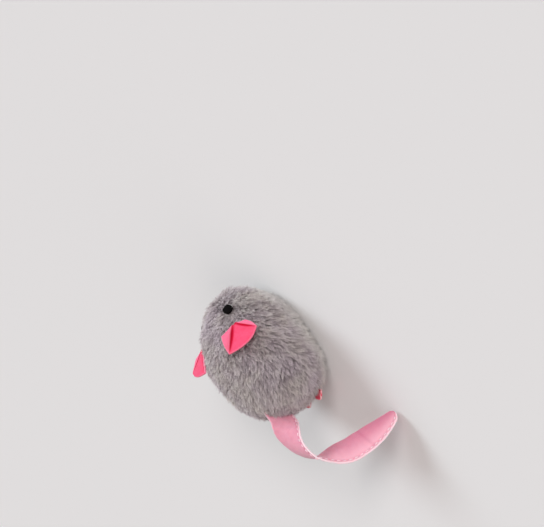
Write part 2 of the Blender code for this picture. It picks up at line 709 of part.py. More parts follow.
def button_cell(name, degrees, made_of, parent):
    """A button cell: a can, a narrower cap on one side."""
    radius, cap = CELL_DIAMETER / 2, CELL_CAP_DIAMETER / 2
    profile = [(0, CELL_BOTTOM), (radius, CELL_BOTTOM), (radius, CELL_TOP - CELL_RIM),
               (cap, CELL_TOP - CELL_RIM), (cap, CELL_TOP), (0, CELL_TOP)]
    return finish(turned(name, profile, BODY_SIDES, polar(CELL_RING, degrees)), made_of, parent)


def bridge(name, angles, bottom, made_of, parent):
    """A strip that joins two cells: two round pads and a neck between them."""
    first, second = (Vector(polar(CELL_RING, degrees)) for degrees in angles)
    top = bottom + CONTACT_THICKNESS
    strip = drum(name, CONTACT_DIAMETER, bottom, top, SMALL_SIDES, first)
    strip = combine(strip, drum("pad", CONTACT_DIAMETER, bottom, top, SMALL_SIDES, second), "UNION")
    along = (second - first).normalized()
    across = Vector((-along.y, along.x)) * CONTACT_NECK / 2
    corners = [first - across, second - across, second + across, first + across]
    neck = stack("neck", [[(*corner, height) for corner in corners] for height in (bottom, top)])
    strip = combine(strip, neck, "UNION")
    strip.name = name
    return finish(strip, made_of, parent)


def contact_positive(made_of, parent):
    """The positive contact: a pad over the first cell and a leg down to the board."""
    pad_centre = polar(CELL_RING, CELL_ANGLES[0])
    name = "battery_contact_positive"
    pad = drum(name, CONTACT_DIAMETER, UPPER_CONTACT_BOTTOM, UPPER_CONTACT_TOP, SMALL_SIDES, pad_centre)
    leg_inner = CELL_RING + CELL_DIAMETER / 2 + CLEARANCE
    leg_outer = leg_inner + CONTACT_THICKNESS
    half = CONTACT_LEG_WIDTH / 2
    arm = box((-half, CELL_RING, UPPER_CONTACT_BOTTOM), (half, leg_outer, UPPER_CONTACT_TOP))
    pad = combine(pad, arm, "UNION")
    leg = box((-half, leg_inner, ON_BOARD), (half, leg_outer, UPPER_CONTACT_TOP))
    pad = combine(pad, leg, "UNION")
    pad.name = name
    return finish(pad, made_of, parent)


def domed(name, diameter, height, bottom, rings_count, place, made_of, parent):
    """A drop of resin on the board."""
    profile = [(0, bottom)]
    for i in range(rings_count):
        turn = math.pi / 2 * i / rings_count
        profile.append((diameter / 2 * math.cos(turn), bottom + height * math.sin(turn)))
    profile.append((0, bottom + height))
    return finish(turned(name, profile, SMALL_SIDES, place), made_of, parent)


def capacitor(made_of, parent):
    """A small upright can."""
    radius = CAPACITOR_DIAMETER / 2
    top = ON_BOARD + CAPACITOR_HEIGHT
    profile = [(0, ON_BOARD), (radius, ON_BOARD), (radius, top - CAPACITOR_EDGE),
               (radius - CAPACITOR_EDGE, top), (0, top)]
    place = polar(CHIP_RING, CAPACITOR_ANGLE)
    return finish(turned("capacitor", profile, SMALL_SIDES, place), made_of, parent)


def resistor(made_of, parent):
    """A flat component on the board."""
    x, y = polar(RESISTOR_RING, RESISTOR_ANGLE)
    half_x, half_y = RESISTOR_LENGTH / 2, RESISTOR_WIDTH / 2
    piece = box((x - half_x, y - half_y, ON_BOARD), (x + half_x, y + half_y, ON_BOARD + RESISTOR_HEIGHT))
    piece.name = "resistor"
    return finish(piece, made_of, parent)


def piezo_wire(name, index, end_height, made_of, parent):
    """A thin wire that rises from the board and bends in under the sounder."""
    degrees = WIRE_FOOT_ANGLES[index]
    foot_place = polar(WIRE_FOOT_RING, degrees)
    head_place = polar(WIRE_HEAD_RINGS[index], degrees)
    end = end_height - CLEARANCE
    run = end - WIRE_RUN_DROP
    middle = [(a + b) / 2 for a, b in zip(foot_place, head_place)]
    route = [(*foot_place, ON_BOARD), (*foot_place, (ON_BOARD + run) / 2),
             (*foot_place, run - WIRE_RUN_DROP / 2), (*middle, run),
             (*head_place, run + WIRE_RUN_DROP / 2), (*head_place, end)]
    points = catmull_rom(route, WIRE_STEPS)
    curve = bpy.data.curves.new(name, "CURVE")
    curve.dimensions = "3D"
    curve.bevel_depth = WIRE_DIAMETER / 2
    curve.bevel_resolution = WIRE_SIDES_RESOLUTION
    curve.use_fill_caps = True
    spline = curve.splines.new("POLY")
    spline.points.add(len(points) - 1)
    for spot, point in zip(spline.points, points):
        spot.co = (*point, 1)
    wire = bpy.data.objects.new(name, curve)
    bpy.context.collection.objects.link(wire)
    return finish(wire, made_of, parent)


def switch_base(made_of, parent):
    """The motion switch's base: a flange on the board and the plug on which the ball rests."""
    flange = SWITCH_DIAMETER / 2
    plug = flange - SWITCH_WALL - CLEARANCE
    shoulder = ON_BOARD + SWITCH_FLANGE
    profile = [(0, ON_BOARD), (flange, ON_BOARD), (flange, shoulder), (plug, shoulder),
               (plug, shoulder + SWITCH_PLUG), (0, shoulder + SWITCH_PLUG)]
    place = polar(SWITCH_RING, SWITCH_ANGLE)
    return finish(turned("motion_switch_base", profile, SMALL_SIDES, place), made_of, parent)


def switch_can(made_of, parent):
    """The metal can over the ball, closed at its top."""
    outer = SWITCH_DIAMETER / 2
    inner = outer - SWITCH_WALL
    rim = ON_BOARD + SWITCH_FLANGE + CLEARANCE
    top = rim + SWITCH_HEIGHT
    profile = [(0, top - SWITCH_WALL), (inner, top - SWITCH_WALL), (inner, rim), (outer, rim),
               (outer, top), (0, top)]
    place = polar(SWITCH_RING, SWITCH_ANGLE)
    return finish(turned("motion_switch_can", profile, SMALL_SIDES, place), made_of, parent)


def switch_ball(made_of, parent):
    """The loose ball, resting low in its can; its origin is its own centre."""
    radius = BALL_DIAMETER / 2
    profile = [(0, -radius)]
    for i in range(1, BALL_RINGS):
        turn = math.pi * i / BALL_RINGS
        profile.append((radius * math.sin(turn), -radius * math.cos(turn)))
    profile.append((0, radius))
    ball = turned("motion_switch_ball", profile, SMALL_SIDES)
    height = ON_BOARD + SWITCH_FLANGE + SWITCH_PLUG + CLEARANCE + radius
    ball.location = (*polar(SWITCH_RING, SWITCH_ANGLE), height)
    return finish(ball, made_of, parent)


def build_plush():
    """Skin, stuffing, ears, eyes, feet and tail."""
    fur = material("grey_fur", (0.31, 0.28, 0.28), 0.95)
    belly = material("grey_belly_plush", (0.29, 0.26, 0.26), 0.95)
    wadding = material("white_wadding", (0.85, 0.85, 0.83), 1.0)
    felt = material("pink_felt", (0.90, 0.15, 0.30), 0.9)
    foot_felt = material("crimson_felt", (0.55, 0.05, 0.10), 0.9)
    black = material("black_eye_thread", (0.01, 0.01, 0.01), 0.6)
    ribbon = material("pink_ribbon", (0.85, 0.35, 0.48), 0.7)
    thread = material("pale_thread", (0.92, 0.70, 0.76), 0.6)
    belly_panel(belly)
    stuffing("stuffing_front", True, wadding)
    stuffing("stuffing_rear", False, wadding)
    for word, side in SIDES.items():
        fur_panel(f"fur_panel_{word}", side, fur)
        ear(f"ear_{word}", side, felt)
        eye(f"eye_{word}", side, black)
        foot(f"hind_foot_{word}", side, foot_felt)
    tail_ribbon(ribbon)
    tail_stitching(thread)


def build_module():
    """The sound module, under an empty at the middle of its underside."""
    module = bpy.data.objects.new("sound_module", None)
    module.location = MODULE_ORIGIN
    bpy.context.collection.objects.link(module)
    shell = material("white_case_plastic", (0.80, 0.80, 0.78), 0.45)
    steel = material("bright_steel", (0.62, 0.62, 0.63), 0.3, 1)
    brass = material("sounder_brass", (0.72, 0.52, 0.22), 0.3, 1)
    ceramic = material("sounder_ceramic", (0.75, 0.74, 0.70), 0.6)
    laminate = material("board_laminate", (0.04, 0.20, 0.08), 0.5)
    resin = material("black_resin", (0.02, 0.02, 0.02), 0.35)
    red = material("red_insulation", (0.60, 0.03, 0.03), 0.5)
    dark = material("black_insulation", (0.02, 0.02, 0.02), 0.5)
    case_lower(shell, module)
    case_upper(shell, module)
    for i, place in enumerate(screw_places()):
        case_screw(f"case_screw_{i + 1}", place, steel, module)
    circuit_board(laminate, module)
    chip_place = polar(CHIP_RING, CHIP_ANGLE)
    domed("sound_chip", CHIP_DIAMETER, CHIP_HEIGHT, ON_BOARD, CHIP_DOME_RINGS, chip_place, resin, module)
    capacitor(steel, module)
    resistor(resin, module)
    for i, degrees in enumerate(CELL_ANGLES):
        button_cell(f"battery_cell_{i + 1}", degrees, steel, module)
    bridge("battery_bridge_lower", CELL_ANGLES[:2], ON_BOARD, steel, module)
    bridge("battery_bridge_upper", CELL_ANGLES[1:], UPPER_CONTACT_BOTTOM, steel, module)
    contact_positive(steel, module)
    pad = drum("battery_contact_negative", CONTACT_DIAMETER, ON_BOARD, ON_BOARD + CONTACT_THICKNESS,
               SMALL_SIDES, polar(CELL_RING, CELL_ANGLES[2]))
    finish(pad, steel, module)
    plate = drum("piezo_plate", PIEZO_DIAMETER, PIEZO_BOTTOM, PIEZO_TOP, CASE_SIDES)
    finish(plate, brass, module)
    disc = drum("piezo_ceramic", CERAMIC_DIAMETER, CERAMIC_BOTTOM, CERAMIC_TOP, CASE_SIDES)
    finish(disc, ceramic, module)
    piezo_wire("piezo_wire_red", 0, CERAMIC_BOTTOM, red, module)
    piezo_wire("piezo_wire_black", 1, PIEZO_BOTTOM, dark, module)
    switch_base(resin, module)
    switch_can(steel, module)
    switch_ball(steel, module)


def main():
    for old in list(bpy.data.objects):
        bpy.data.objects.remove(old)
    build_plush()
    build_module()


main()
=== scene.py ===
import json
import math

import bmesh
import bpy
import numpy as np
from mathutils import Matrix, Vector, kdtree


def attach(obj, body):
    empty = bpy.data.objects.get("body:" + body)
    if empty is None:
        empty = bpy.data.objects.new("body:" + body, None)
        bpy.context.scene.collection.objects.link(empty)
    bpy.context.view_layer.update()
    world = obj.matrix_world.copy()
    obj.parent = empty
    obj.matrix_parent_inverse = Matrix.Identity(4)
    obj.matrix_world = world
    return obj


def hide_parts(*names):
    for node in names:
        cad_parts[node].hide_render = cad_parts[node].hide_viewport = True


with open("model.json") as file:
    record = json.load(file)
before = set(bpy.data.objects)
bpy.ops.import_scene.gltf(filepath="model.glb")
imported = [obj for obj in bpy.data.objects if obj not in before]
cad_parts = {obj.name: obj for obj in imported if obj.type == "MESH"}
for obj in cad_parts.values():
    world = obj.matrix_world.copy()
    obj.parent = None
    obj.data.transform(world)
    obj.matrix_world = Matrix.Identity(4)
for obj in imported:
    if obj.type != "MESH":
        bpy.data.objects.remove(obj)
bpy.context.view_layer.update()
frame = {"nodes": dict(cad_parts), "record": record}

# Body form, as in the CAD
BODY_LENGTH = 0.0552
BODY_DIAMETER = 0.0408
AXIS_HEIGHT = 0.0170
HEAD_DROP = 0.0030
WIDEST_SHARE = 0.477
NOSE_POWER = 1.85
RUMP_POWER = 3.0

# Cloth and pile
SEED = 7
SKIN_INSET = 0.0014
SKIN_FLOOR = 0.0010
SKIN_RINGS = 80
SKIN_SIDES = 112
STRANDS = 104000
STRAND_LENGTH = 0.0041
STRAND_RADIUS = 0.000056
STRAND_POINTS = 7
STRANDS_PER_PIECE = 5800
CLUMP_SPACING = 0.00070
TUFT_SPACING = 0.0026
TUFT_CONTRAST = 0.33
ROOT_LEAN_DEGREES = 26
TIP_LEAN_DEGREES = 65
STRAND_SWAY = 0.00026
STRAND_LENGTH_RANGE = (0.66, 1.10)
LENGTH_SPREAD = 0.09
CLUMP_SWIRL, TUFT_SWIRL = 0.27, 0.30
CLUMP_TURN, TUFT_TURN, ROOT_TURN = 10, 7, 8
STRAND_TURN = math.radians(7)
STRAND_SWIRL, STRAY_SWIRL = 0.14, 0.45
STRAY_SHARE = 0.14
STRAY_RISE = math.radians(18)
CLUMP_PULL = 0.56
FLOW_SWIRL = 0.34
RISING_FLOW_RANGE = (-0.012, 0.018)
FLAT_HEAD_RANGE = (0.010, 0.016)
FLAT_HEAD_TIP_DEGREES, FLAT_HEAD_ROOT_DEGREES = 7, 10
FACE_RANGE, FACE_TRIM = (0.016, 0.024), 0.10
CROWN_RANGE, CROWN_TRIM = (0.002, 0.010), 0.08
BACK_RANGE, BACK_TRIM = (0.022, 0.030), 0.12
REAR_RANGE, LOW_RANGE, REAR_GROWTH = (0.012, 0.020), (0.012, 0.004), 0.20
FULL_SHARE = 0.95
BARE_DEPTH = 0.008
BELLY_PILE_SHARE = 0.45
EYE_PILE_SHARE = 0.40
EAR_PILE_SHARE = 0.38
EAR_FRONT_PILE_SHARE = 0.85
FLOOR_GAP = 0.00015
FLOOR_SPLAY = 0.0008
FLOOR_SPLAY_HEIGHT = 0.0045
FLOOR_SPLAY_RANGE = (0.0048, 0.0128)
# Painted light low on the body: fur paler towards the floor, in place of light glowing through the fringe.
LOW_PAINTED_LIGHT_FROM = 0.0035
LOW_PAINTED_LIGHT_TO = 0.0100
LOW_PAINTED_LIGHT_SHARE = 0.85
# Parting beside each eye: a streak of painted shade, with a lock of painted light below it.
PARTING_FROM = (-0.0178, -0.0039)
PARTING_TO = (-0.0131, -0.0140)
PARTING_PAINTED_SHADE, PARTING_WIDTH = 0.80, 0.00055
PARTING_PAINTED_LIGHT, PARTING_LOCK_WIDTH, PARTING_LOCK_OFFSET = 0.35, 0.0005, 0.0011
WAD_LUMP_DEPTH, WAD_LUMP_LENGTH = 0.0006, 0.0035
WAD_TUFT_DEPTH, WAD_TUFT_LENGTH = 0.0003, 0.0012

# Ears: thickness, hinge, side and rim are the CAD's, the rest belongs to the visible felt
EAR_LENGTH = 0.0111
EAR_THICKNESS = 0.0010
EAR_FELT_THICKNESS = 0.00072
EAR_EDGE_THICKNESS = 0.0005
EAR_HINGE_RISE = 0.0004
EAR_STATION = 0.0126
EAR_SIDE_DEGREES = 55.0
EAR_RIM_SHARES = (
    (-0.07, 0.61, 0.32),
    (0.12, 0.70, 0.46),
    (0.32, 0.75, 0.58),
    (0.60, 0.77, 0.69),
    (0.66, 0.42, 0.75),
    (0.67, 0.05, 0.77),
    (0.60, -0.30, 0.75),
    (0.42, -0.61, 0.67),
    (0.22, -0.57, 0.52),
    (0.09, -0.50, 0.41),
    (-0.01, -0.41, 0.30),
)
LEFT_EAR_CURL_DEGREES = -46.0
LEFT_EAR_SPIN_DEGREES = -13.0
LEFT_EAR_FOLD_DEGREES = 15.0
LEFT_EAR_LEAN_DEGREES = -27.0
LEFT_EAR_WIDTH_SHARE = 1.1
EAR_FOLDS = (3, 7)
EAR_STEPS = 10
EAR_ROWS = 46
EAR_ROOT_SHARE = 0.10
EAR_CREASE_WIDTH = 0.00085
EAR_CREASE_WIDENINGS = (1.35, 1.0)
EAR_CREASE_DEPTH = 0.0002
EAR_ROOT_SHIFT_SHARE = 0.16
EAR_ROOT_FILL_SHARE = 0.07
# A broad band of painted shade beside each fold.
EAR_SHADE_WIDTH = 0.0013
EAR_SHADE_SHARE = 0.30
EAR_WAVE_HEIGHT = 0.00013
EAR_WAVE_LENGTH = 0.006
EAR_EDGE_FROM = 0.955
EAR_FUR_REACH = 0.0095
EAR_FUR_GAP = 0.0003
EAR_PRESS_STEPS = ((0.0, 0.0021), (18.0, 0.0048))
EAR_PRESS_ASIDE = 0.0008
EAR_SWELL = 0.0004
EAR_FRONT_FROM, EAR_BARE_FROM, EAR_BARE_TO = -0.0062, -0.0028, 0.0042
EAR_FRONT_WIDTH = 0.0068
EAR_BARE_WIDTH, EAR_BARE_WIDENING = 0.0028, 0.85

# Eyes: place, edge, dome and squareness are the CAD's
EYE_WIDTH = 0.0040
EYE_STATION = 0.0199
EYE_SIDE_DEGREES = 58.0
EYE_EDGE = 0.0006
EYE_DOME = 0.0007
EYE_SQUARENESS = 2.8
EYE_RINGS, EYE_SIDES = 20, 72
EYE_THREAD_PITCH, EYE_THREAD_RELIEF = 0.00042, 0.00005
EYE_SEAT = 0.0004
EYE_BARE_RADIUS = 0.0022
EYE_CLEAR_RADIUS = 0.0023
EYE_CLEAR_RANGE = (-0.0016, -0.0004)

# Feet: width, reach, thickness, spread, height and tilt are the CAD's
FOOT_WIDTH = 0.0066
FOOT_REACH = 0.0042
FOOT_THICKNESS = 0.0011
FOOT_SPREAD = 0.0100
FOOT_HEIGHT = 0.0094
FOOT_TILT_DEGREES = 24.0
FOOT_STATION = 0.0276
FOOT_STEPS = 25
FOOT_CUP = 0.0005
FOOT_ROOT_SHARE = 0.62

# Tail: the CAD's ribbon, with a hem, creases and stitches of its own
TAIL_WIDTH = 0.0120
TAIL_THICKNESS = 0.0010
TAIL_REACH = 0.0292
TAIL_SIDE = 0.0262
TAIL_DROP = 0.0284
TAIL_ROOT_HEIGHT = 0.0290
TAIL_HINGE_STATION = 0.028812
TAIL_LEAN_DEGREES = 33.0
TAIL_ROW_SHARES = (
    (-0.27, 0.00, 0.00, -33.0, 1.00, 0.80, 0.02),
    (-0.08, 0.00, 0.00, -30.0, 1.00, 0.84, 0.03),
    (0.04, 0.04, -0.03, -12.0, 1.00, 0.90, 0.05),
    (0.17, 0.06, -0.08, 20.0, 1.00, 0.87, 0.10),
    (0.30, 0.07, -0.10, 45.0, 1.00, 0.88, 0.09),
    (0.43, 0.09, -0.09, 63.0, 1.00, 0.91, 0.08),
    (0.56, 0.13, -0.06, 76.0, 1.00, 0.95, 0.05),
    (0.66, 0.17, -0.01, 90.0, 1.00, 0.98, 0.02),
    (0.73, 0.23, 0.08, 110.0, 1.00, 1.00, -0.03),
    (0.80, 0.31, 0.20, 130.0, 1.00, 1.00, -0.09),
    (0.87, 0.44, 0.34, 144.0, 1.00, 1.00, -0.10),
    (0.90, 0.62, 0.51, 147.0, 0.98, 1.00, -0.11),
    (0.91, 0.81, 0.67, 144.0, 0.88, 1.00, -0.12),
    (0.89, 0.95, 0.82, 143.0, 0.66, 1.00, -0.09),
    (0.86, 1.00, 0.93, 145.0, 0.42, 1.00, -0.06),
    (0.85, 1.02, 0.97, 147.0, 0.15, 1.00, 0.00),
)
TAIL_STEPS = 16
TAIL_COLUMNS = 41
TAIL_CREASE_ROW = 11.2
TAIL_CREASE_HEIGHT = 0.00018
TAIL_WAVE_HEIGHT, TAIL_WAVE_LENGTH = 0.00016, 0.012
TAIL_FRAY, TAIL_FRAY_LENGTH = 0.00012, 0.004
TAIL_EDGE_WIDTH = 0.00085
# Second stretch: painted shade on its upper side, growing over later rows, and painted light on its lower
# side.
TAIL_SHADE_ROWS, TAIL_SHADE_GROWTH_ROWS = (7.0, 9.0), (9.5, 12.5)
TAIL_FUR_GAP = 0.00065
SEAM_WIDTH = 0.00045
STITCH_INSET = 0.0011
STITCH_LENGTH = 0.0015
STITCH_PITCH = 0.0025
STITCH_RADIUS = 0.00020
STITCH_STEPS, STITCH_SIDES = 9, 8
STITCH_START = 0.0006
STITCH_END_SHARE = 0.4
SIDES = {"right": -1, "left": 1}

# Camera: it looks down on the mouse's right side, rolled as in the photograph
CAMERA_ELEVATION = math.radians(33)
CAMERA_ROLL_COS, CAMERA_ROLL_SIN = 0.6293, 0.7771
CAMERA_DISTANCE = 3.0
CAMERA_CENTRE = Vector((0, 0.003, 0.017))
FRAME_CENTRE_RIGHT, FRAME_CENTRE_UP = 0.00444, 0.0372
FRAME_WIDTH = 0.2176
SENSOR = 36.0

rng = np.random.default_rng(SEED)


def node(tree, kind, place, **values):
    made = tree.nodes.new(kind)
    made.location = place
    for key, value in values.items():
        if key in made.inputs.keys():
            made.inputs[key].default_value = value
        else:
            setattr(made, key, value)
    return made


def join(tree, source, output, target, entry):
    tree.links.new(source.outputs[output], target.inputs[entry])


def ramp(tree, place, stops):
    made = node(tree, "ShaderNodeValToRGB", place)
    elements = made.color_ramp.elements
    while len(elements) < len(stops):
        elements.new(0.5)
    for element, (position, colour) in zip(elements, stops):
        element.position = position
        element.color = (*colour, 1)
    return made


def adjust(material, **values):
    """Sets inputs of a material's shader and returns the shader."""
    shader = material.node_tree.nodes["Principled BSDF"]
    for key, value in values.items():
        shader.inputs[key.replace("_", " ")].default_value = value
    return shader


def new_material(name, **values):
    """A Principled material: (material, tree, shader)."""
    made = bpy.data.materials.new(name)
    made.use_nodes = True
    return made, made.node_tree, adjust(made, **values)


def fur_material():
    """Strands: colour from root to tip, darker at the roots as painted shade and paler at the tips as painted
    light, from tuft to tuft and in broad patches, and paler low down as painted light.
    """
    made, tree, shader = new_material("fur_strands", Roughness=0.62, Specular_IOR_Level=0.28,
                                      Sheen_Weight=0.25, Sheen_Roughness=0.45)
    tone = node(tree, "ShaderNodeAttribute", (-900, 0), attribute_name="tone")
    parts = node(tree, "ShaderNodeSeparateColor", (-700, 0))
    join(tree, tone, "Color", parts, "Color")
    # Darker roots and paler tips: painted shade deep in the pile and painted light at the tips.
    along = ramp(tree, (-500, 120), [(0.0, (0.55, 0.50, 0.52)), (0.4, (0.81, 0.765, 0.78)),
                                     (0.8, (0.91, 0.885, 0.89)), (1.0, (0.98, 0.97, 0.965))])
    join(tree, parts, "Red", along, "Fac")
    tuft = ramp(tree, (-500, -120), [(0.0, (0.56, 0.51, 0.54)), (0.5, (0.90, 0.87, 0.88)),
                                     (1.0, (1.0, 1.0, 0.985))])
    join(tree, parts, "Green", tuft, "Fac")
    place = node(tree, "ShaderNodeTexCoord", (-1100, -500))
    broad = node(tree, "ShaderNodeTexNoise", (-900, -400), Scale=90.0, Detail=2.0)
    join(tree, place, "Object", broad, "Vector")
    tint = ramp(tree, (-500, -400), [(0.36, (0.985, 0.95, 1.0)), (0.64, (0.99, 0.985, 0.95))])
    join(tree, broad, "Fac", tint, "Fac")
    axes = node(tree, "ShaderNodeSeparateXYZ", (-900, -650))
    join(tree, place, "Object", axes, "Vector")
    # Painted light: the fur is mixed towards a pale colour low down.
    limits = {"From Min": LOW_PAINTED_LIGHT_TO, "From Max": LOW_PAINTED_LIGHT_FROM, "To Max": LOW_PAINTED_LIGHT_SHARE}
    low = node(tree, "ShaderNodeMapRange", (-500, -650), **limits)
    join(tree, axes, "Z", low, "Value")
    last = along.outputs["Color"]
    for i, other in enumerate((tuft, tint)):
        mix = node(tree, "ShaderNodeMix", (-250 + 100 * i, 60), data_type="RGBA", blend_type="MULTIPLY")
        mix.inputs["Factor"].default_value = 1
        tree.links.new(last, mix.inputs["A"])
        join(tree, other, "Color", mix, "B")
        last = mix.outputs["Result"]
    low_painted_light = node(tree, "ShaderNodeMix", (-40, 60), data_type="RGBA")
    low_painted_light.inputs["B"].default_value = (1.0, 0.985, 0.96, 1)
    join(tree, low, "Result", low_painted_light, "Factor")
    tree.links.new(last, low_painted_light.inputs["A"])
    join(tree, low_painted_light, "Result", shader, "Base Color")
    return made


def cloth_material(name, dark, light, scale, bump, roughness=0.9, sheen=0.3):
    """Felt, wadding or backing cloth: two-tone fibre noise with a fine bump."""
    made, tree, shader = new_material(name, Roughness=roughness, Specular_IOR_Level=0.2,
                                      Sheen_Weight=sheen, Sheen_Roughness=0.5)
    place = node(tree, "ShaderNodeTexCoord", (-1100, 0))
    broad = node(tree, "ShaderNodeTexNoise", (-800, 150), Scale=scale * 0.12, Detail=3.0)
    fine = node(tree, "ShaderNodeTexNoise", (-800, -150), Scale=scale, Detail=6.0, Roughness=0.7)
    for texture in (broad, fine):
        join(tree, place, "Object", texture, "Vector")
    both = node(tree, "ShaderNodeMix", (-600, 0), data_type="RGBA")
    both.inputs["Factor"].default_value = 0.55
    join(tree, broad, "Color", both, "A")
    join(tree, fine, "Color", both, "B")
    colours = ramp(tree, (-400, 0), [(0.36, dark), (0.64, light)])
    join(tree, both, "Result", colours, "Fac")
    join(tree, colours, "Color", shader, "Base Color")
    relief = node(tree, "ShaderNodeBump", (-300, -300), Strength=bump, Distance=0.0001)
    join(tree, fine, "Fac", relief, "Height")
    join(tree, relief, "Normal", shader, "Normal")
    return made


def felt_material(name, dark, light, painted_crease_shade, edge, painted_light_pale, scale=5200, bump=0.55):
    """Cut felt or ribbon: fibre noise, with painted shade in its creases, a pale cut edge and painted light
    that makes parts of it paler.
    """
    made = cloth_material(name, dark, light, scale, bump, 0.88, 0.22)
    tree = made.node_tree
    shader = adjust(made, Subsurface_Weight=0.35, Subsurface_Radius=(1.0, 0.35, 0.35),
                    Subsurface_Scale=0.0005)
    plain = shader.inputs["Base Color"].links[0].from_socket
    tone = node(tree, "ShaderNodeAttribute", (-900, 500), attribute_name="tone")
    parts = node(tree, "ShaderNodeSeparateColor", (-700, 500))
    join(tree, tone, "Color", parts, "Color")
    # Blue mixes in painted light, red painted shade, green the paler cut edge (on the feet painted light).
    for socket, colour, place in (("Blue", painted_light_pale, -150), ("Red", painted_crease_shade, 100), ("Green", edge, 350)):
        mix = node(tree, "ShaderNodeMix", (place, 400), data_type="RGBA")
        tree.links.new(parts.outputs[socket], mix.inputs["Factor"])
        tree.links.new(plain, mix.inputs["A"])
        mix.inputs["B"].default_value = (*colour, 1)
        plain = mix.outputs["Result"]
    tree.links.new(plain, shader.inputs["Base Color"])
    return made


def hard_material(name, dark, light, scale, roughness, metallic=0.0):
    """Metal, plastic, resin or laminate with slight wear in its colour and gloss."""
    made, tree, shader = new_material(name, Metallic=metallic)
    place = node(tree, "ShaderNodeTexCoord", (-1000, 0))
    grain = node(tree, "ShaderNodeTexNoise", (-800, 0), Scale=scale, Detail=5.0)
    join(tree, place, "Object", grain, "Vector")
    colours = ramp(tree, (-500, 100), [(0.35, dark), (0.65, light)])
    join(tree, grain, "Fac", colours, "Fac")
    join(tree, colours, "Color", shader, "Base Color")
    limits = {"To Min": roughness * 0.85, "To Max": roughness * 1.2}
    gloss = node(tree, "ShaderNodeMapRange", (-500, -150), **limits)
    join(tree, grain, "Fac", gloss, "Value")
    join(tree, gloss, "Result", shader, "Roughness")
    relief = node(tree, "ShaderNodeBump", (-300, -350), Strength=0.1, Distance=0.00005)
    join(tree, grain, "Fac", relief, "Height")
    join(tree, relief, "Normal", shader, "Normal")
    return made


def linked(name, data):
    made = bpy.data.objects.new(name, data)
    bpy.context.collection.objects.link(made)
    return made


def add_object(name, mesh, material, body):
    made = linked(name, mesh)
    mesh.materials.append(material)
    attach(made, body)
    return made


def fast_mesh(name, points, quads, triangles=()):
    """A mesh from numpy arrays of points, four-sided and three-sided faces."""
    quads = np.asarray(quads, np.int32).reshape(-1, 4)
    triangles = np.asarray(triangles, np.int32).reshape(-1, 3)
    mesh = bpy.data.meshes.new(name)
    mesh.vertices.add(len(points))
    mesh.vertices.foreach_set("co", np.asarray(points, np.float32).ravel())
    corners = np.concatenate([quads.ravel(), triangles.ravel()])
    mesh.loops.add(len(corners))
    mesh.loops.foreach_set("vertex_index", corners)
    starts = np.concatenate([np.arange(len(quads)) * 4, len(quads) * 4 + np.arange(len(triangles)) * 3])
    mesh.polygons.add(len(starts))
    mesh.polygons.foreach_set("loop_start", starts.astype(np.int32))
    mesh.update(calc_edges=True)
    mesh.polygons.foreach_set("use_smooth", np.ones(len(starts), bool))
    return mesh


def set_tone(mesh, red, green, blue=0):
    """Writes the colour attribute that a material reads, per point."""
    layer = mesh.attributes.new("tone", "FLOAT_COLOR", "POINT")
    values = np.ones((len(red), 4), np.float32)
    values[:, 0], values[:, 1], values[:, 2] = red, green, blue
    layer.data.foreach_set("color", values.ravel())


def share_between(values, start, end):
    """0 up to the start and 1 from the end on, straight between them."""
    return np.clip((values - start) / (end - start), 0, 1)


def unit(vectors):
    return vectors / np.maximum(np.linalg.norm(vectors, axis=-1, keepdims=True), 1e-12)


def strand_mesh(name, paths, radii, tone):
    """Thin closed strands of three sides that run to a point. paths is (n, k, 3), radii (n,)."""
    count, steps = paths.shape[:2]
    tangents = unit(np.gradient(paths, axis=1))
    reference = unit(np.cross(tangents[:, :1], rng.normal(size=(count, 1, 3))))
    across = unit(reference - tangents * (reference * tangents).sum(-1, keepdims=True))
    other = np.cross(tangents, across)
    shares = np.linspace(0, 1, steps)[:-1]
    width = radii[:, None] * (1 - 0.75 * shares**2)
    rings = []
    for j in range(3):
        turn = math.tau * j / 3
        outward = across[:, :-1] * math.cos(turn) + other[:, :-1] * math.sin(turn)
        rings.append(paths[:, :-1] + outward * width[..., None])
    rings = np.stack(rings, axis=2)
    ring_points = (steps - 1) * 3
    block = np.concatenate([rings.reshape(count, ring_points, 3), paths[:, -1:]], axis=1)
    per = ring_points + 1
    quads = grid_faces(steps - 1, 3, True)
    last = 3 * (steps - 2)
    ends = [(last + j, last + (j + 1) % 3, ring_points) for j in range(3)] + [(2, 1, 0)]
    shift = np.arange(count)[:, None, None] * per
    mesh = fast_mesh(name, block.reshape(-1, 3), (quads[None] + shift).reshape(-1, 4),
                     (np.array(ends)[None] + shift).reshape(-1, 3))
    along = np.concatenate([np.repeat(shares, 3), [1.0]])
    red = np.repeat(along[None], count, axis=0) * tone[:, :1]
    set_tone(mesh, red.ravel(), np.repeat(tone[:, 1], per))
    return mesh


def waves(points, scale, seed, octaves=3):
    """Smooth pseudo-noise in about -1 to 1 from sums of sines."""
    local = np.random.default_rng(seed)
    total = np.zeros(points.shape[:-1])
    for octave in range(octaves):
        for _ in range(4):
            direction = unit(local.normal(size=3)) * math.tau / scale * 2**octave * local.uniform(0.7, 1.3)
            total += np.sin(points @ direction + local.uniform(0, math.tau)) / 2**octave
    return total / 4


def section(station, inset):
    """Radius and centre height of the body at places along Y."""
    nose_half = BODY_LENGTH * WIDEST_SHARE
    half = np.where(station < 0, nose_half, BODY_LENGTH - nose_half) - inset
    power = np.where(station < 0, NOSE_POWER, RUMP_POWER)
    share = np.minimum(np.abs(station) / half, 1)
    radius = (BODY_DIAMETER / 2 - inset) * np.sqrt(1 - share**power)
    drop = np.where(station < 0, HEAD_DROP * share**2, 0)
    return radius, AXIS_HEIGHT - drop


def body_point(station, degrees, side, inset=0.0):
    radius, centre = section(np.float64(station), inset)
    angle = math.radians(degrees)
    return np.array((side * radius * math.sin(angle), station, centre + radius * math.cos(angle)))


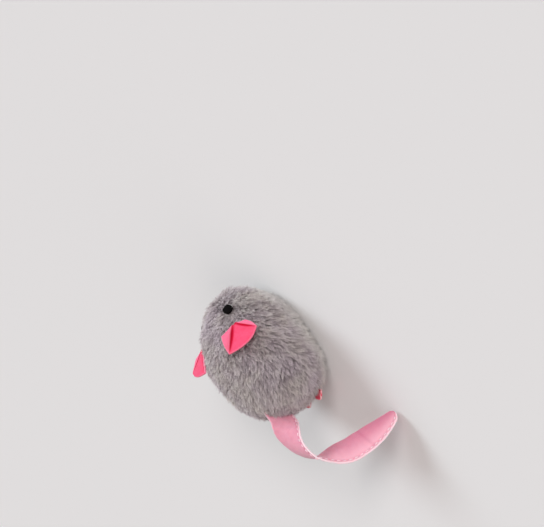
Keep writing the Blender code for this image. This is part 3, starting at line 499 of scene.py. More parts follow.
def skin_grid():
    """Points of the backing cloth in rings from nose to rump, with slight lumps and a flat belly."""
    nose_half = BODY_LENGTH * WIDEST_SHARE - SKIN_INSET
    rump_half = BODY_LENGTH - BODY_LENGTH * WIDEST_SHARE - SKIN_INSET
    share = -np.cos(math.pi * np.arange(SKIN_RINGS + 1) / SKIN_RINGS)
    share = np.clip(share, -0.9999, 0.9999)
    station = np.where(share < 0, share * nose_half, share * rump_half)
    radius, centre = section(station, SKIN_INSET)
    turn = math.tau * (np.arange(SKIN_SIDES) + 0.5) / SKIN_SIDES
    points = np.stack([radius[:, None] * np.sin(turn), np.repeat(station[:, None], SKIN_SIDES, 1),
                       centre[:, None] + radius[:, None] * np.cos(turn)], axis=-1)
    outward = unit(points - np.array((0, 0, AXIS_HEIGHT)))
    points += outward * (waves(points, 0.03, 3, 2) * 0.0003)[..., None]
    points[..., 2] = np.maximum(points[..., 2], SKIN_FLOOR)
    return points


def grid_faces(rows, columns, closed):
    i = np.arange(rows - 1)[:, None]
    j = np.arange(columns if closed else columns - 1)[None]
    k = (j + 1) % columns
    near, far = i * columns, (i + 1) * columns
    return np.stack([near + j, near + k, far + k, far + j], -1).reshape(-1, 4)


def end_faces(rows, sides):
    """Triangles from the first and the last ring of a closed grid to the two points that follow it."""
    j = np.arange(sides)
    k = (j + 1) % sides
    top, tip = (rows - 1) * sides, np.full(sides, rows * sides)
    return np.concatenate([np.stack([tip, k, j], 1), np.stack([tip + 1, top + j, top + k], 1)])


def smooth_rows(rows, steps):
    """Rows of numbers on a Catmull-Rom curve through the given rows."""
    rows = np.array(rows, float)
    padded = np.concatenate([rows[:1], rows, rows[-1:]])
    t = (np.arange(steps) / steps)[:, None]
    out = []
    for i in range(len(rows) - 1):
        a, b, c, d = padded[i : i + 4]
        cubic = (3 * (b - c) + d - a) * t**3 + (2 * a - 5 * b + 4 * c - d) * t**2
        out.append((cubic + (c - a) * t) / 2 + b)
    return np.concatenate([*out, rows[-1:]])


def ear_axes(side):
    turn = math.radians(EAR_SIDE_DEGREES)
    outward = np.array((side * math.sin(turn), 0, math.cos(turn)))
    upward = np.array((-side * math.cos(turn), 0, math.sin(turn)))
    hinge = body_point(-EAR_STATION, EAR_SIDE_DEGREES, side) + outward * EAR_HINGE_RISE
    return hinge, np.array((0.0, 1.0, 0.0)), upward, outward


def eye_axes(side):
    centre = body_point(-EYE_STATION, EYE_SIDE_DEGREES, side)
    behind, ahead = (body_point(-EYE_STATION + step, EYE_SIDE_DEGREES, side) for step in (1e-4, -1e-4))
    below, above = (body_point(-EYE_STATION, EYE_SIDE_DEGREES + turn, side) for turn in (1, -1))
    normal = unit(np.cross(behind - ahead, below - above))
    if normal @ (centre - np.array((0, -EYE_STATION, AXIS_HEIGHT))) < 0:
        normal = -normal
    return centre, normal


# Camera
slope = CAMERA_ELEVATION
toward = Vector((-math.cos(slope), 0, math.sin(slope)))
lengthwise = Vector((0, -1, 0))
backward = Vector((math.sin(slope), 0, math.cos(slope)))
right = -CAMERA_ROLL_COS * lengthwise - CAMERA_ROLL_SIN * backward
up = CAMERA_ROLL_SIN * lengthwise - CAMERA_ROLL_COS * backward
camera_data = bpy.data.cameras.new("camera")
camera_data.sensor_width = SENSOR
camera_data.lens = SENSOR * CAMERA_DISTANCE / FRAME_WIDTH
camera_data.clip_end = 20
camera = linked("camera", camera_data)
aim = CAMERA_CENTRE + right * FRAME_CENTRE_RIGHT + up * FRAME_CENTRE_UP
turn_matrix = Matrix((right, up, toward)).transposed().to_4x4()
camera.matrix_world = Matrix.Translation(aim + toward * CAMERA_DISTANCE) @ turn_matrix
bpy.context.scene.camera = camera

# Materials
fur_look = fur_material()
skin_look = cloth_material("backing_cloth", (0.33, 0.295, 0.305), (0.44, 0.40, 0.41), 2600, 0.5)
wadding_look = cloth_material("wadding_fibre", (0.70, 0.70, 0.69), (0.86, 0.86, 0.85), 1500, 0.8)
# Ear felt colours, then painted shade for the creases, the pale cut edge and painted light for the flaps.
ear_look = felt_material("ear_felt", (0.79, 0.066, 0.155), (0.87, 0.10, 0.21), (0.56, 0.0, 0.030),
                         (0.95, 0.34, 0.46), (0.88, 0.20, 0.34))
adjust(ear_look, Sheen_Weight=0.08, Specular_IOR_Level=0.08)
# Foot felt: only its paler edge colour shows, as painted light.
foot_look = felt_material("foot_felt", (0.80, 0.05, 0.10), (0.92, 0.09, 0.16), (0.40, 0.01, 0.03),
                          (0.98, 0.60, 0.64), (0.95, 0.20, 0.28))
eye_look = cloth_material("eye_thread", (0.002, 0.0015, 0.0018), (0.005, 0.004, 0.0045), 6000, 0.4, 0.85, 0.0)
adjust(eye_look, Specular_IOR_Level=0.06)
# Tail cloth colours, then painted shade for the crease and seam, the pale cut edge, and painted light for the
# lower side of the second stretch.
tail_look = felt_material("tail_cloth", (0.70, 0.28, 0.38), (0.79, 0.37, 0.47), (0.58, 0.15, 0.25),
                          (0.95, 0.76, 0.82), (0.90, 0.50, 0.60), 4200, 0.45)
thread_look = cloth_material("tail_thread", (0.86, 0.50, 0.60), (0.96, 0.74, 0.80), 9000, 0.3, 0.42, 0.2)
adjust(thread_look, Specular_IOR_Level=0.7)

# Backing cloth of the body
skin = skin_grid()
skin_shape = skin.shape[:2]
skin_points = np.concatenate([skin.reshape(-1, 3), skin[:1].mean(axis=1), skin[-1:].mean(axis=1)])
skin_mesh = fast_mesh("plush_cloth", skin_points, grid_faces(*skin_shape, True), end_faces(*skin_shape))
plush = add_object("plush_cloth", skin_mesh, skin_look, "mouse_body")
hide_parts("fur_panel_right", "fur_panel_left", "belly_panel")

# Roots of the pile, spread evenly over the cloth
skin_mesh.calc_loop_triangles()
corners = np.zeros(len(skin_mesh.loop_triangles) * 3, np.int32)
skin_mesh.loop_triangles.foreach_get("vertices", corners)
corners = corners.reshape(-1, 3)
normals = np.zeros(len(skin_mesh.vertices) * 3, np.float32)
skin_mesh.vertex_normals.foreach_get("vector", normals)
normals = normals.reshape(-1, 3).astype(float)
if (normals * (skin_points - np.array((0, 0, AXIS_HEIGHT)))).sum() < 0:
    skin_mesh.flip_normals()
    normals = -normals
edges = skin_points[corners]
areas = np.linalg.norm(np.cross(edges[:, 1] - edges[:, 0], edges[:, 2] - edges[:, 0]), axis=1) / 2


def grid_normals(grid):
    along = np.gradient(grid, axis=0)
    across = np.gradient(grid, axis=1)
    return unit(np.cross(across, along))


def ear_rim(side):
    """Rim of an ear; the left one is curled along its length and hangs turned about its root."""
    rows = np.array(EAR_RIM_SHARES)
    if side < 0:
        return rows
    tip_axis = unit(rows[5])
    facing = unit(np.cross(rows[3] - rows[7], tip_axis))
    along = (rows @ tip_axis)[:, None]
    curl = math.radians(LEFT_EAR_CURL_DEGREES)
    spine = (np.sin(curl * along) * tip_axis + (1 - np.cos(curl * along)) * facing) / curl
    rows = spine + (rows - along * tip_axis) * LEFT_EAR_WIDTH_SHARE
    for axis, degrees in ((tip_axis, LEFT_EAR_SPIN_DEGREES), ((0, 1, 0), LEFT_EAR_FOLD_DEGREES),
                          ((1, 0, 0), LEFT_EAR_LEAN_DEGREES)):
        rows = rows @ np.array(Matrix.Rotation(math.radians(degrees), 3, Vector(axis))).T
    return rows


def ear_grid(side):
    """Middle surface of a felt ear: a back panel between two sharp folds, with a flap beyond each."""
    hinge, back, upward, outward = ear_axes(side)
    rows = ear_rim(side)
    first_fold, second_fold = EAR_FOLDS
    parts = [rows[: first_fold + 1], rows[first_fold : second_fold + 1], rows[second_fold:]]
    rims = [smooth_rows(part, EAR_STEPS) for part in parts]
    rim = np.concatenate([rims[0], rims[1][1:], rims[2][1:]]) * EAR_LENGTH
    folds = [len(rims[0]) - 1, len(rims[0]) + len(rims[1]) - 2]
    reach = np.linspace(EAR_ROOT_SHARE, 1, EAR_ROWS)[:, None]
    grid = rim[None] * reach[..., None]
    run = np.concatenate([[0], np.cumsum(np.linalg.norm(np.diff(rim, axis=0), axis=1))])
    depth = np.zeros((len(reach), len(rim)))
    shade = np.zeros_like(depth)
    swell = np.zeros_like(depth)
    # Each fold: a groove, painted shade along it, and a broad band of painted shade beside it.
    for fold, wide in zip(folds, EAR_CREASE_WIDENINGS):
        away = np.abs(run - run[fold])[None] * reach
        width = EAR_CREASE_WIDTH * wide * (1 - 0.45 * reach**2)
        depth += np.exp(-((away / width) ** 2.2)) * np.sin(math.pi * reach**0.9) ** 0.5
        shade += EAR_SHADE_SHARE * np.exp(-away / EAR_SHADE_WIDTH) * np.sin(math.pi * reach)
    starts, ends = [0, *folds], [*folds, len(rim) - 1]
    for first, last in zip(starts, ends):
        place = share_between(run, run[first], run[last])
        inside = (np.arange(len(rim)) >= first) & (np.arange(len(rim)) <= last)
        swell += (np.sin(math.pi * place) ** 0.7 * inside)[None] * np.sin(math.pi * reach**1.3)
    soft = EAR_WAVE_HEIGHT * waves(grid, EAR_WAVE_LENGTH, 40 + side, 2)
    middle = np.sin(math.pi * np.linspace(0, 1, len(rim)))[None]
    root_shift = EAR_ROOT_SHIFT_SHARE * (1 - reach) ** 1.3 + EAR_ROOT_FILL_SHARE * middle * (1 - reach) ** 4
    grid[..., 0] -= EAR_LENGTH * root_shift
    grid[..., 2] += EAR_SWELL * swell + soft
    plain = grid_normals(grid)
    plain = plain * np.sign(plain[..., 2:].mean())
    grid = grid - plain * (EAR_FELT_THICKNESS / 2)
    grid[..., 2] -= EAR_CREASE_DEPTH * depth
    axes = np.stack([back, upward, outward])
    edge = share_between(reach, EAR_EDGE_FROM, 1) * np.ones_like(depth)
    ends_near = np.minimum(np.arange(len(rim)), np.arange(len(rim))[::-1])[None]
    edge = np.maximum(edge, np.clip(1 - ends_near / 2.0, 0, 1) * (reach > 0.3))
    # The flaps: their tone is painted light, which makes them paler than the back panel.
    flap = np.ones_like(depth)
    flap[:, folds[0] : folds[1] + 1] = 0
    # Painted shade: along the folds, and beside them on the back panel.
    painted_crease_shade = np.maximum(depth * 1.5 - 0.2, shade * (1 - flap))
    return hinge + grid @ axes, plain @ axes, painted_crease_shade, edge * 0.4, flap * 0.85


def scatter(count):
    """Random points on the cloth with their normals."""
    chosen = rng.choice(len(areas), count, p=areas / areas.sum())
    a, b = rng.random((2, count))
    fold = a + b > 1
    a, b = np.where(fold, 1 - a, a), np.where(fold, 1 - b, b)
    weights = np.stack([1 - a - b, a, b], 1)[..., None]
    places = (edges[chosen] * weights).sum(1)
    return places, unit((normals[corners[chosen]] * weights).sum(1))


def nearest(centres, points):
    tree = kdtree.KDTree(len(centres))
    for i, centre in enumerate(centres):
        tree.insert(centre, i)
    tree.balance()
    return np.array([tree.find(point)[1] for point in points])


def flow(points, normals):
    """The pile's direction along the cloth: towards the tail, at the rear a little up too, with swirls."""
    towards = np.zeros_like(points)
    towards[:, 1] = 1
    rear = share_between(points[:, 1], *RISING_FLOW_RANGE)
    upward = np.stack([-points[:, 0], np.zeros(len(points)), np.full(len(points), 0.006)], 1)
    towards += 0.45 * rear[:, None] * unit(upward) * (points[:, 2:] > 0.006)
    towards[:, 0] += FLOW_SWIRL * waves(points, 0.020, 11)
    towards[:, 2] += FLOW_SWIRL * waves(points, 0.018, 12)
    along = towards - normals * (towards * normals).sum(1, keepdims=True)
    return unit(along)


def grow(points, normals, length, lean_root, lean_tip, swirl, phase):
    """Paths of strands that stand up from the cloth and bend over along the pile."""
    along = flow(points, normals)
    across = np.cross(normals, along)
    along = unit(along + across * swirl[:, None])
    across = np.cross(normals, along)
    paths = [points]
    for i in range(1, STRAND_POINTS):
        share = (i - 0.5) / (STRAND_POINTS - 1)
        lean = lean_root + (lean_tip - lean_root) * share
        step = normals * np.cos(lean)[:, None] + along * np.sin(lean)[:, None]
        paths.append(paths[-1] + step * (length / (STRAND_POINTS - 1))[:, None])
    paths = np.stack(paths, 1)
    shares = np.linspace(0, 1, STRAND_POINTS)
    bend = np.sin(math.tau * shares * 1.45 + phase[:, None]) - np.sin(phase)[:, None]
    rise = np.sin(math.tau * shares * 1.2 + 2.1 * phase[:, None]) - np.sin(2.1 * phase)[:, None]
    sway = across[:, None] * (bend * shares * STRAND_SWAY)[..., None]
    return paths + sway + normals[:, None] * (rise * shares * STRAND_SWAY / 2)[..., None]


def pile(count):
    """All strands of the body: paths, radii and tones."""
    roots, root_normals = scatter(count)
    total = areas.sum()
    clumps, clump_normals = scatter(int(total / CLUMP_SPACING**2))
    tufts = scatter(int(total / TUFT_SPACING**2))[0]
    clump_of, tuft_of = nearest(clumps, roots), nearest(tufts, clumps)
    number = len(clumps)
    clump_length = 1 + LENGTH_SPREAD * rng.normal(size=number) + 0.10 * waves(clumps, 0.012, 21)
    clump_length = STRAND_LENGTH * clump_length * trim(clumps)
    clump_swirl = CLUMP_SWIRL * rng.normal(size=number) + TUFT_SWIRL * rng.normal(size=len(tufts))[tuft_of]
    clump_turn = CLUMP_TURN * rng.normal(size=number) + TUFT_TURN * rng.normal(size=len(tufts))[tuft_of]
    flat = share_between(-clumps[:, 1], *FLAT_HEAD_RANGE)
    clump_lean = np.radians(TIP_LEAN_DEGREES + clump_turn + FLAT_HEAD_TIP_DEGREES * flat)
    clump_root = ROOT_LEAN_DEGREES + FLAT_HEAD_ROOT_DEGREES * flat + ROOT_TURN * rng.normal(size=number)
    clump_root = np.radians(clump_root)
    clump_phase = rng.uniform(0, math.tau, number)
    centre_paths = grow(clumps, clump_normals, clump_length, clump_root, clump_lean, clump_swirl, clump_phase)
    stray = rng.random(count) < STRAY_SHARE
    length = clump_length[clump_of] * rng.uniform(*STRAND_LENGTH_RANGE, count)
    swirl = clump_swirl[clump_of] + np.where(stray, STRAY_SWIRL, STRAND_SWIRL) * rng.normal(size=count)
    lean = clump_lean[clump_of] + STRAND_TURN * rng.normal(size=count) - STRAY_RISE * stray
    rise = clump_root[clump_of] + STRAND_TURN * rng.normal(size=count)
    phase = clump_phase[clump_of] + 0.5 * rng.normal(size=count)
    short = shorten(roots)
    paths = grow(roots, root_normals, length * short, rise, lean, swirl, phase)
    shares = np.linspace(0, 1, STRAND_POINTS)
    pull = np.clip(shares * 1.15, 0, 1) ** 1.6 * CLUMP_PULL
    strength = np.clip(rng.normal(1.0, 0.30, count), 0.1, 1.35)
    strength = strength * np.where((short < FULL_SHARE) | stray, 0.12, 1)
    own_share = (length * short / clump_length[clump_of])[:, None] * shares
    position = np.clip(own_share, 0, 1) * (STRAND_POINTS - 1)
    low = np.minimum(position.astype(int), STRAND_POINTS - 2)
    part = (position - low)[..., None]
    guide = centre_paths[clump_of]
    index = np.arange(count)[:, None]
    guide = guide[index, low] * (1 - part) + guide[index, low + 1] * part
    paths = paths + (guide - paths) * (pull * strength[:, None])[..., None]
    paths = keep_clear(paths, short)
    radii = STRAND_RADIUS * rng.uniform(0.75, 1.2, count)
    tuft_tone = rng.normal(0.5, TUFT_CONTRAST, number)[clump_of] + 0.10 * waves(roots, 0.016, 31)
    # The parting's painted shade and painted light go into the tone.
    tuft_tone += (0.10 * rng.normal(size=len(tufts)))[tuft_of[clump_of]] + parting(roots)
    own_tone = rng.uniform(0.80, 1.0, count)
    tuft_tone = np.clip(tuft_tone + 0.06 * rng.normal(size=count), 0, 1)
    return roots, paths, radii, np.stack([own_tone, tuft_tone], 1)


def parting(roots):
    """Painted shade as a dark streak in the pile beside each eye, where it parts, and painted light on a lock
    below it, placed as the camera sees them.
    """
    sine, cosine = math.sin(CAMERA_ELEVATION), math.cos(CAMERA_ELEVATION)
    places = np.stack([roots[:, 1], cosine * (roots[:, 2] - AXIS_HEIGHT) - sine * np.abs(roots[:, 0])], 1)
    first, last = np.array(PARTING_FROM), np.array(PARTING_TO)
    run = last - first
    share = np.clip((places - first) @ run / (run @ run), 0, 1)
    offset = places - first - share[:, None] * run
    side = offset @ np.array((-run[1], run[0])) / np.linalg.norm(run)
    away = np.linalg.norm(offset, axis=1)
    dark = PARTING_PAINTED_SHADE * np.exp(-((away / PARTING_WIDTH) ** 2))
    light = PARTING_PAINTED_LIGHT * np.exp(-(((away - PARTING_LOCK_OFFSET) / PARTING_LOCK_WIDTH) ** 2))
    return light * (side > 0) - dark


def trim(roots):
    """Share of the usual length by place: less on the face, crown and back, more low at the rear."""
    face = share_between(-roots[:, 1], *FACE_RANGE)
    back = share_between(roots[:, 2], *BACK_RANGE)
    crown = share_between(-roots[:, 1], *CROWN_RANGE) * back
    rear = share_between(roots[:, 2], *LOW_RANGE) * share_between(roots[:, 1], *REAR_RANGE)
    return 1 - FACE_TRIM * face - CROWN_TRIM * crown - BACK_TRIM * back + REAR_GROWTH * rear


def shorten(roots):
    """Share of its full length that a strand has: less under the eyes, the ears and the belly."""
    share = np.ones(len(roots))
    for side in SIDES.values():
        centre, normal = eye_axes(side)
        offset = roots - centre
        radial = offset - normal * (offset @ normal)[:, None]
        distance = np.linalg.norm(radial, axis=1)
        share[(offset @ normal > -BARE_DEPTH) & (distance < EYE_BARE_RADIUS)] = EYE_PILE_SHARE
        hinge, back, upward, outward = ear_axes(side)
        local = roots - hinge
        a, b, c = local @ back, local @ upward, local @ outward
        close = c > -BARE_DEPTH
        half = EAR_BARE_WIDTH / 2 + EAR_BARE_WIDENING * np.maximum(a, 0)
        inside = (np.abs(b) < half) & (a > EAR_BARE_FROM) & (a < EAR_BARE_TO)
        share[inside & close] = np.minimum(share[inside & close], EAR_PILE_SHARE)
        front = (np.abs(b) < EAR_FRONT_WIDTH / 2) & (a > EAR_FRONT_FROM) & (a <= EAR_BARE_FROM) & close
        share[front] = np.minimum(share[front], EAR_FRONT_PILE_SHARE)
    share[roots[:, 2] < SKIN_FLOOR + 0.0004] = BELLY_PILE_SHARE
    return share


def fold_matrix(axis, outward, degrees):
    """Turn about an ear's hinge that brings its tip towards the body."""
    turn = np.array(Matrix.Rotation(math.radians(degrees), 3, Vector(axis)))
    tip = turn @ np.array((0.0, 1.0, 0.0))
    return turn if tip @ outward <= 0 else turn.T


def keep_clear(paths, short):
    """Bends strands round the eyes and the tail's root, presses them down under the ears, and keeps
    them above the ground."""
    shares = np.linspace(0, 1, STRAND_POINTS)
    for side in SIDES.values():
        centre, normal = eye_axes(side)
        offset = paths - centre
        height = offset @ normal
        radial = offset - normal * height[..., None]
        distance = np.linalg.norm(radial, axis=-1)
        limit = EYE_CLEAR_RADIUS * share_between(height, *EYE_CLEAR_RANGE)
        push = np.clip(limit - distance, 0, None) * (height > EYE_CLEAR_RANGE[0])
        push = np.where((short < FULL_SHARE)[:, None], 0, push)
        paths = paths + unit(radial) * push[..., None]
        hinge, back, upward, outward = ear_axes(side)
        chosen = np.nonzero(np.linalg.norm(paths[:, 0] - hinge, axis=1) < EAR_FUR_REACH)[0]
        ear_points, ear_normals = (layer[::2, ::2].reshape(-1, 3) for layer in ear_grid(side)[:2])
        for degrees, reach in EAR_PRESS_STEPS:
            folded = fold_matrix(upward, outward, degrees)
            ear_now, normals_now = (ear_points - hinge) @ folded.T + hinge, ear_normals @ folded.T
            points = paths[chosen].reshape(-1, 3)
            closest = nearest(ear_now, points)
            offset = points - ear_now[closest]
            height = (offset * normals_now[closest]).sum(1)
            aside = np.sqrt(np.clip((offset**2).sum(1) - height**2, 0, None))
            height = height + EAR_THICKNESS / 2 + EAR_FUR_GAP
            near = (aside < EAR_PRESS_ASIDE) & (height > 0) & (height < reach)
            drop = np.where(near, height, 0).reshape(len(chosen), -1)
            drop = drop * np.clip(shares * 4, 0, 1)
            moves = normals_now[closest].reshape(len(chosen), -1, 3) * drop[..., None]
            paths[chosen] = points.reshape(moves.shape) - moves
    near_tail = (np.abs(paths[..., 2] - TAIL_ROOT_HEIGHT) < TAIL_WIDTH / 2) & (paths[..., 1] > 0.02)
    side_of = np.where(paths[:, :1, 0] < 0, -1, 1)
    gap = TAIL_FUR_GAP * np.clip(shares * 3, 0, 1)
    paths[..., 0] = np.where(near_tail & (paths[..., 0] * side_of < gap), side_of * gap, paths[..., 0])
    low = share_between(paths[..., 2], FLOOR_SPLAY_HEIGHT, 0) * shares
    outer = share_between(np.abs(paths[..., 0]), *FLOOR_SPLAY_RANGE)
    paths[..., 0] += np.sign(paths[..., 0]) * low * FLOOR_SPLAY * outer
    lowest = FLOOR_GAP + 0.0004 * shares * rng.random((len(paths), 1))
    paths[..., 2] = np.maximum(paths[..., 2], lowest)
    return paths


strand_count = STRANDS
roots, strand_paths, strand_radii, strand_tones = pile(strand_count)
order = np.argsort(roots[:, 1])
for i, chosen in enumerate(np.array_split(order, math.ceil(strand_count / STRANDS_PER_PIECE))):
    mesh = strand_mesh(f"fur_{i + 1}", strand_paths[chosen], strand_radii[chosen], strand_tones[chosen])
    add_object(f"fur_{i + 1}", mesh, fur_look, "mouse_body")


def lumps(mesh):
    """Subdivides a plain solid and presses soft lumps into it."""
    shaped = bmesh.new()
    shaped.from_mesh(mesh)
    bmesh.ops.subdivide_edges(shaped, edges=shaped.edges, cuts=2, use_grid_fill=True)
    shaped.normal_update()
    places = np.array([vertex.co for vertex in shaped.verts])
    depth = WAD_LUMP_DEPTH * np.abs(waves(places, WAD_LUMP_LENGTH, 71))
    depth = depth + WAD_TUFT_DEPTH * np.abs(waves(places, WAD_TUFT_LENGTH, 72))
    for vertex, inward in zip(shaped.verts, np.clip(depth, 0, 2 * WAD_LUMP_DEPTH)):
        vertex.co -= vertex.normal * float(inward)
    for face in shaped.faces:
        face.smooth = True
    shaped.to_mesh(mesh)
    shaped.free()


# Wadding, in the place of the CAD's two blocks
for word in ("front", "rear"):
    source = frame["nodes"][f"stuffing_{word}"]
    mesh = source.data.copy()
    mesh.transform(source.matrix_world)
    mesh.materials.clear()
    lumps(mesh)
    wad = add_object(f"wadding_{word}", mesh, wadding_look, "mouse_body")
    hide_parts(f"stuffing_{word}")


def felt_solid(name, grid, normals, thickness):
    """A closed solid from a grid of middle points, its two faces joined round the edge by a band of faces."""
    rows, columns = grid.shape[:2]
    half = normals * thickness[..., None] / 2
    count = rows * columns
    faces = [grid_faces(rows, columns, False)[:, ::-1], grid_faces(rows, columns, False) + count]
    index = np.arange(count).reshape(rows, columns)
    loop = np.concatenate([index[0], index[1:, -1], index[-1, -2::-1], index[-2:0:-1, 0]])
    after = np.roll(loop, -1)
    faces.append(np.stack([loop, after, after + count, loop + count], -1))
    return fast_mesh(name, np.stack([grid - half, grid + half]).reshape(-1, 3), np.concatenate(faces))


def both_faces(*layers):
    """Tone values for the two faces of a felt solid, from values over its middle grid."""
    return [np.clip(np.tile(layer.ravel(), 2), 0, 1) for layer in layers]


for word, side in SIDES.items():
    grid, turned, painted_crease_shade, edge, flap = ear_grid(side)
    thickness = np.full(grid.shape[:2], EAR_FELT_THICKNESS)
    thickness[-1], thickness[:, 0], thickness[:, -1] = [EAR_EDGE_THICKNESS] * 3
    mesh = felt_solid(f"ear_{word}_felt", grid, turned, thickness)
    set_tone(mesh, *both_faces(painted_crease_shade, edge, flap))
    ear = add_object(f"ear_{word}_felt", mesh, ear_look, f"{word}_ear")
    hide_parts(f"ear_{word}")

# Eyes: a low dome of stitched thread
for word, side in SIDES.items():
    centre, normal = eye_axes(side)
    around = unit(np.cross(normal, (0, 0, 1)))
    upward = np.cross(normal, around)
    turns = math.tau * np.arange(EYE_SIDES) / EYE_SIDES
    powers = np.abs(np.cos(turns)) ** EYE_SQUARENESS + np.abs(np.sin(turns)) ** EYE_SQUARENESS
    bulge = powers ** (-1 / EYE_SQUARENESS)
    brim, dome = EYE_EDGE * 0.7, EYE_DOME * 1.2
    levels = [(0.93, -EYE_SEAT), (1.0, -EYE_SEAT / 4), (1.0, brim)]
    levels += [(math.cos(a), brim + dome * math.sin(a)) for a in np.linspace(0, math.pi / 2, EYE_RINGS)[1:-1]]
    points = []
    for share, height in levels:
        radius = EYE_WIDTH / 2 * share * bulge
        x, y = radius * np.cos(turns), radius * np.sin(turns)
        ridge = EYE_THREAD_RELIEF * np.abs(np.sin(math.pi * x / EYE_THREAD_PITCH + 0.3)) * (height > 0)
        points.append(centre + np.outer(x, around) + np.outer(y, upward) + np.outer(height + ridge, normal))
    points = np.concatenate([*points, [centre - normal * EYE_SEAT], [centre + normal * (brim + dome)]])
    shape = len(levels), EYE_SIDES
    mesh = fast_mesh(f"eye_{word}_thread", points, grid_faces(*shape, True), end_faces(*shape))
    eye = add_object(f"eye_{word}_thread", mesh, eye_look, "mouse_body")
    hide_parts(f"eye_{word}")


def tail_stations(steps):
    """Centres, width directions, normals, widths, shares of them that the cupped cloth spans, and cups."""
    rows = smooth_rows(TAIL_ROW_SHARES, steps)
    hinge = np.array((0, TAIL_HINGE_STATION, TAIL_ROOT_HEIGHT))
    centres = hinge + np.stack([-TAIL_SIDE * rows[:, 1], TAIL_REACH * rows[:, 0], -TAIL_DROP * rows[:, 2]], 1)
    lean = math.radians(TAIL_LEAN_DEGREES)
    facing = np.array((-math.cos(lean), 0, math.sin(lean)))
    tangents = unit(np.gradient(centres, axis=0))
    across = unit(np.cross(facing, tangents))
    upright = unit(np.cross(tangents, across))
    turn = np.radians(rows[:, 3])[:, None]
    direction = across * np.cos(turn) + upright * np.sin(turn)
    normals = unit(np.cross(tangents, direction))
    return centres, direction, normals, TAIL_WIDTH * rows[:, 4], rows[:, 5], rows[:, 6]


centres, directions, faces_to, widths, narrow, cup = tail_stations(TAIL_STEPS)
row_place = np.arange(len(centres)) / TAIL_STEPS
shares = np.linspace(-1, 1, TAIL_COLUMNS)
near = centres + directions * (widths / 2)[:, None]
reach = widths * narrow
fray_places = np.outer(row_place * TAIL_FRAY_LENGTH, (1, 0, 0))
frays = TAIL_FRAY * waves(fray_places, TAIL_FRAY_LENGTH, 51, 3)
across = near[:, None] - directions[:, None] * ((reach + frays)[:, None] * (1 - shares) / 2)[..., None]
lift = cup[:, None] * TAIL_WIDTH * (1 - shares ** 2) * (widths / TAIL_WIDTH)[:, None]
crease_line = row_place[:, None] - TAIL_CREASE_ROW - 0.35 * shares
fold_line = np.exp(-((crease_line / 0.16) ** 2)) * np.clip(1 - shares * 0.5, 0, 1)
lift = lift + TAIL_CREASE_HEIGHT * fold_line + TAIL_WAVE_HEIGHT * waves(across, TAIL_WAVE_LENGTH, 52, 3)
ribbon = across + faces_to[:, None] * lift[..., None]
normal_grid = grid_normals(ribbon)
if (normal_grid * faces_to[:, None]).sum() < 0:
    normal_grid = -normal_grid
inset = (1 - shares) / 2 * widths[:, None]
seam = np.exp(-(((inset - STITCH_INSET) / SEAM_WIDTH) ** 2))
profile = 0.42 + 0.50 * np.clip(1 - np.abs(shares) ** 8, 0, 1) ** 0.5
thickness = TAIL_THICKNESS * profile * (1 - 0.30 * seam)
edge = np.clip(1.15 - inset / TAIL_EDGE_WIDTH, 0, 1)
edge = edge + 0.55 * np.clip(1 - (widths[:, None] - inset) / 0.0004, 0, 1)
# Painted shade along the crease and in the stitched dip of the seam.
painted_crease_shade = 0.22 * np.exp(-((crease_line / 0.13) ** 2)) + 0.35 * seam
# Second stretch: painted shade on the upper side and painted light on the lower side.
second = share_between(row_place[:, None], *TAIL_SHADE_ROWS)
depth = 0.55 + 0.45 * share_between(row_place[:, None], *TAIL_SHADE_GROWTH_ROWS)
upper_painted_shade = second * np.clip(0.5 - 0.9 * shares, 0, 1) * depth
painted_light_pale = second * np.clip(0.15 + 0.75 * shares, 0, 1)
tail_mesh = felt_solid("tail_cloth", ribbon, normal_grid, thickness)
set_tone(tail_mesh, *both_faces(painted_crease_shade + 0.75 * upper_painted_shade, edge, painted_light_pale))
tail = add_object("tail_cloth", tail_mesh, tail_look, "tail")
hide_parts("tail_ribbon")


def stitch_row(face, shift):
    """Short arched stitches along the hem, on one face of the ribbon."""
    column = np.array([np.interp(STITCH_INSET, inset[i][::-1], np.arange(TAIL_COLUMNS)[::-1])
                       for i in range(len(centres))])
    low = np.minimum(column.astype(int), TAIL_COLUMNS - 2)
    part = (column - low)[:, None]
    index = np.arange(len(centres))
    line = ribbon[index, low] * (1 - part) + ribbon[index, low + 1] * part
    out = normal_grid[index, low] * face
    usable = (widths > TAIL_WIDTH * STITCH_END_SHARE) & (line[:, 1] > TAIL_HINGE_STATION)
    line, out = line[usable], out[usable]
    run = np.concatenate([[0], np.cumsum(np.linalg.norm(np.diff(line, axis=0), axis=1))])
    points, faces, caps = [], [], []
    place = shift
    while place + STITCH_LENGTH < run[-1]:
        along = np.linspace(place, place + STITCH_LENGTH, STITCH_STEPS)
        middle = np.stack([np.interp(along, run, line[:, k]) for k in range(3)], 1)
        normal = unit(np.stack([np.interp(along, run, out[:, k]) for k in range(3)], 1))
        share = np.linspace(-1, 1, STITCH_STEPS)
        height = TAIL_THICKNESS * 0.33 + 0.00020 * (1 - share**4)
        middle = middle + normal * height[:, None]
        tangent = unit(np.gradient(middle, axis=0))
        side_way = np.cross(tangent, normal)
        radius = STITCH_RADIUS * rng.uniform(0.85, 1.45) * (1 - 0.6 * share**6)
        turns = math.tau * np.arange(STITCH_SIDES)[None, :, None] / STITCH_SIDES
        ring = side_way[:, None] * np.cos(turns) + normal[:, None] * np.sin(turns) * 0.8
        start = len(points)
        points.extend((middle[:, None] + ring * radius[:, None, None]).reshape(-1, 3))
        faces.extend(grid_faces(STITCH_STEPS, STITCH_SIDES, True) + start)
        caps.extend(end_faces(STITCH_STEPS, STITCH_SIDES) + start)
        points.extend([middle[0] - tangent[0] * 0.00005, middle[-1] + tangent[-1] * 0.00005])
        place += STITCH_PITCH
    return np.array(points), np.array(faces), np.array(caps)


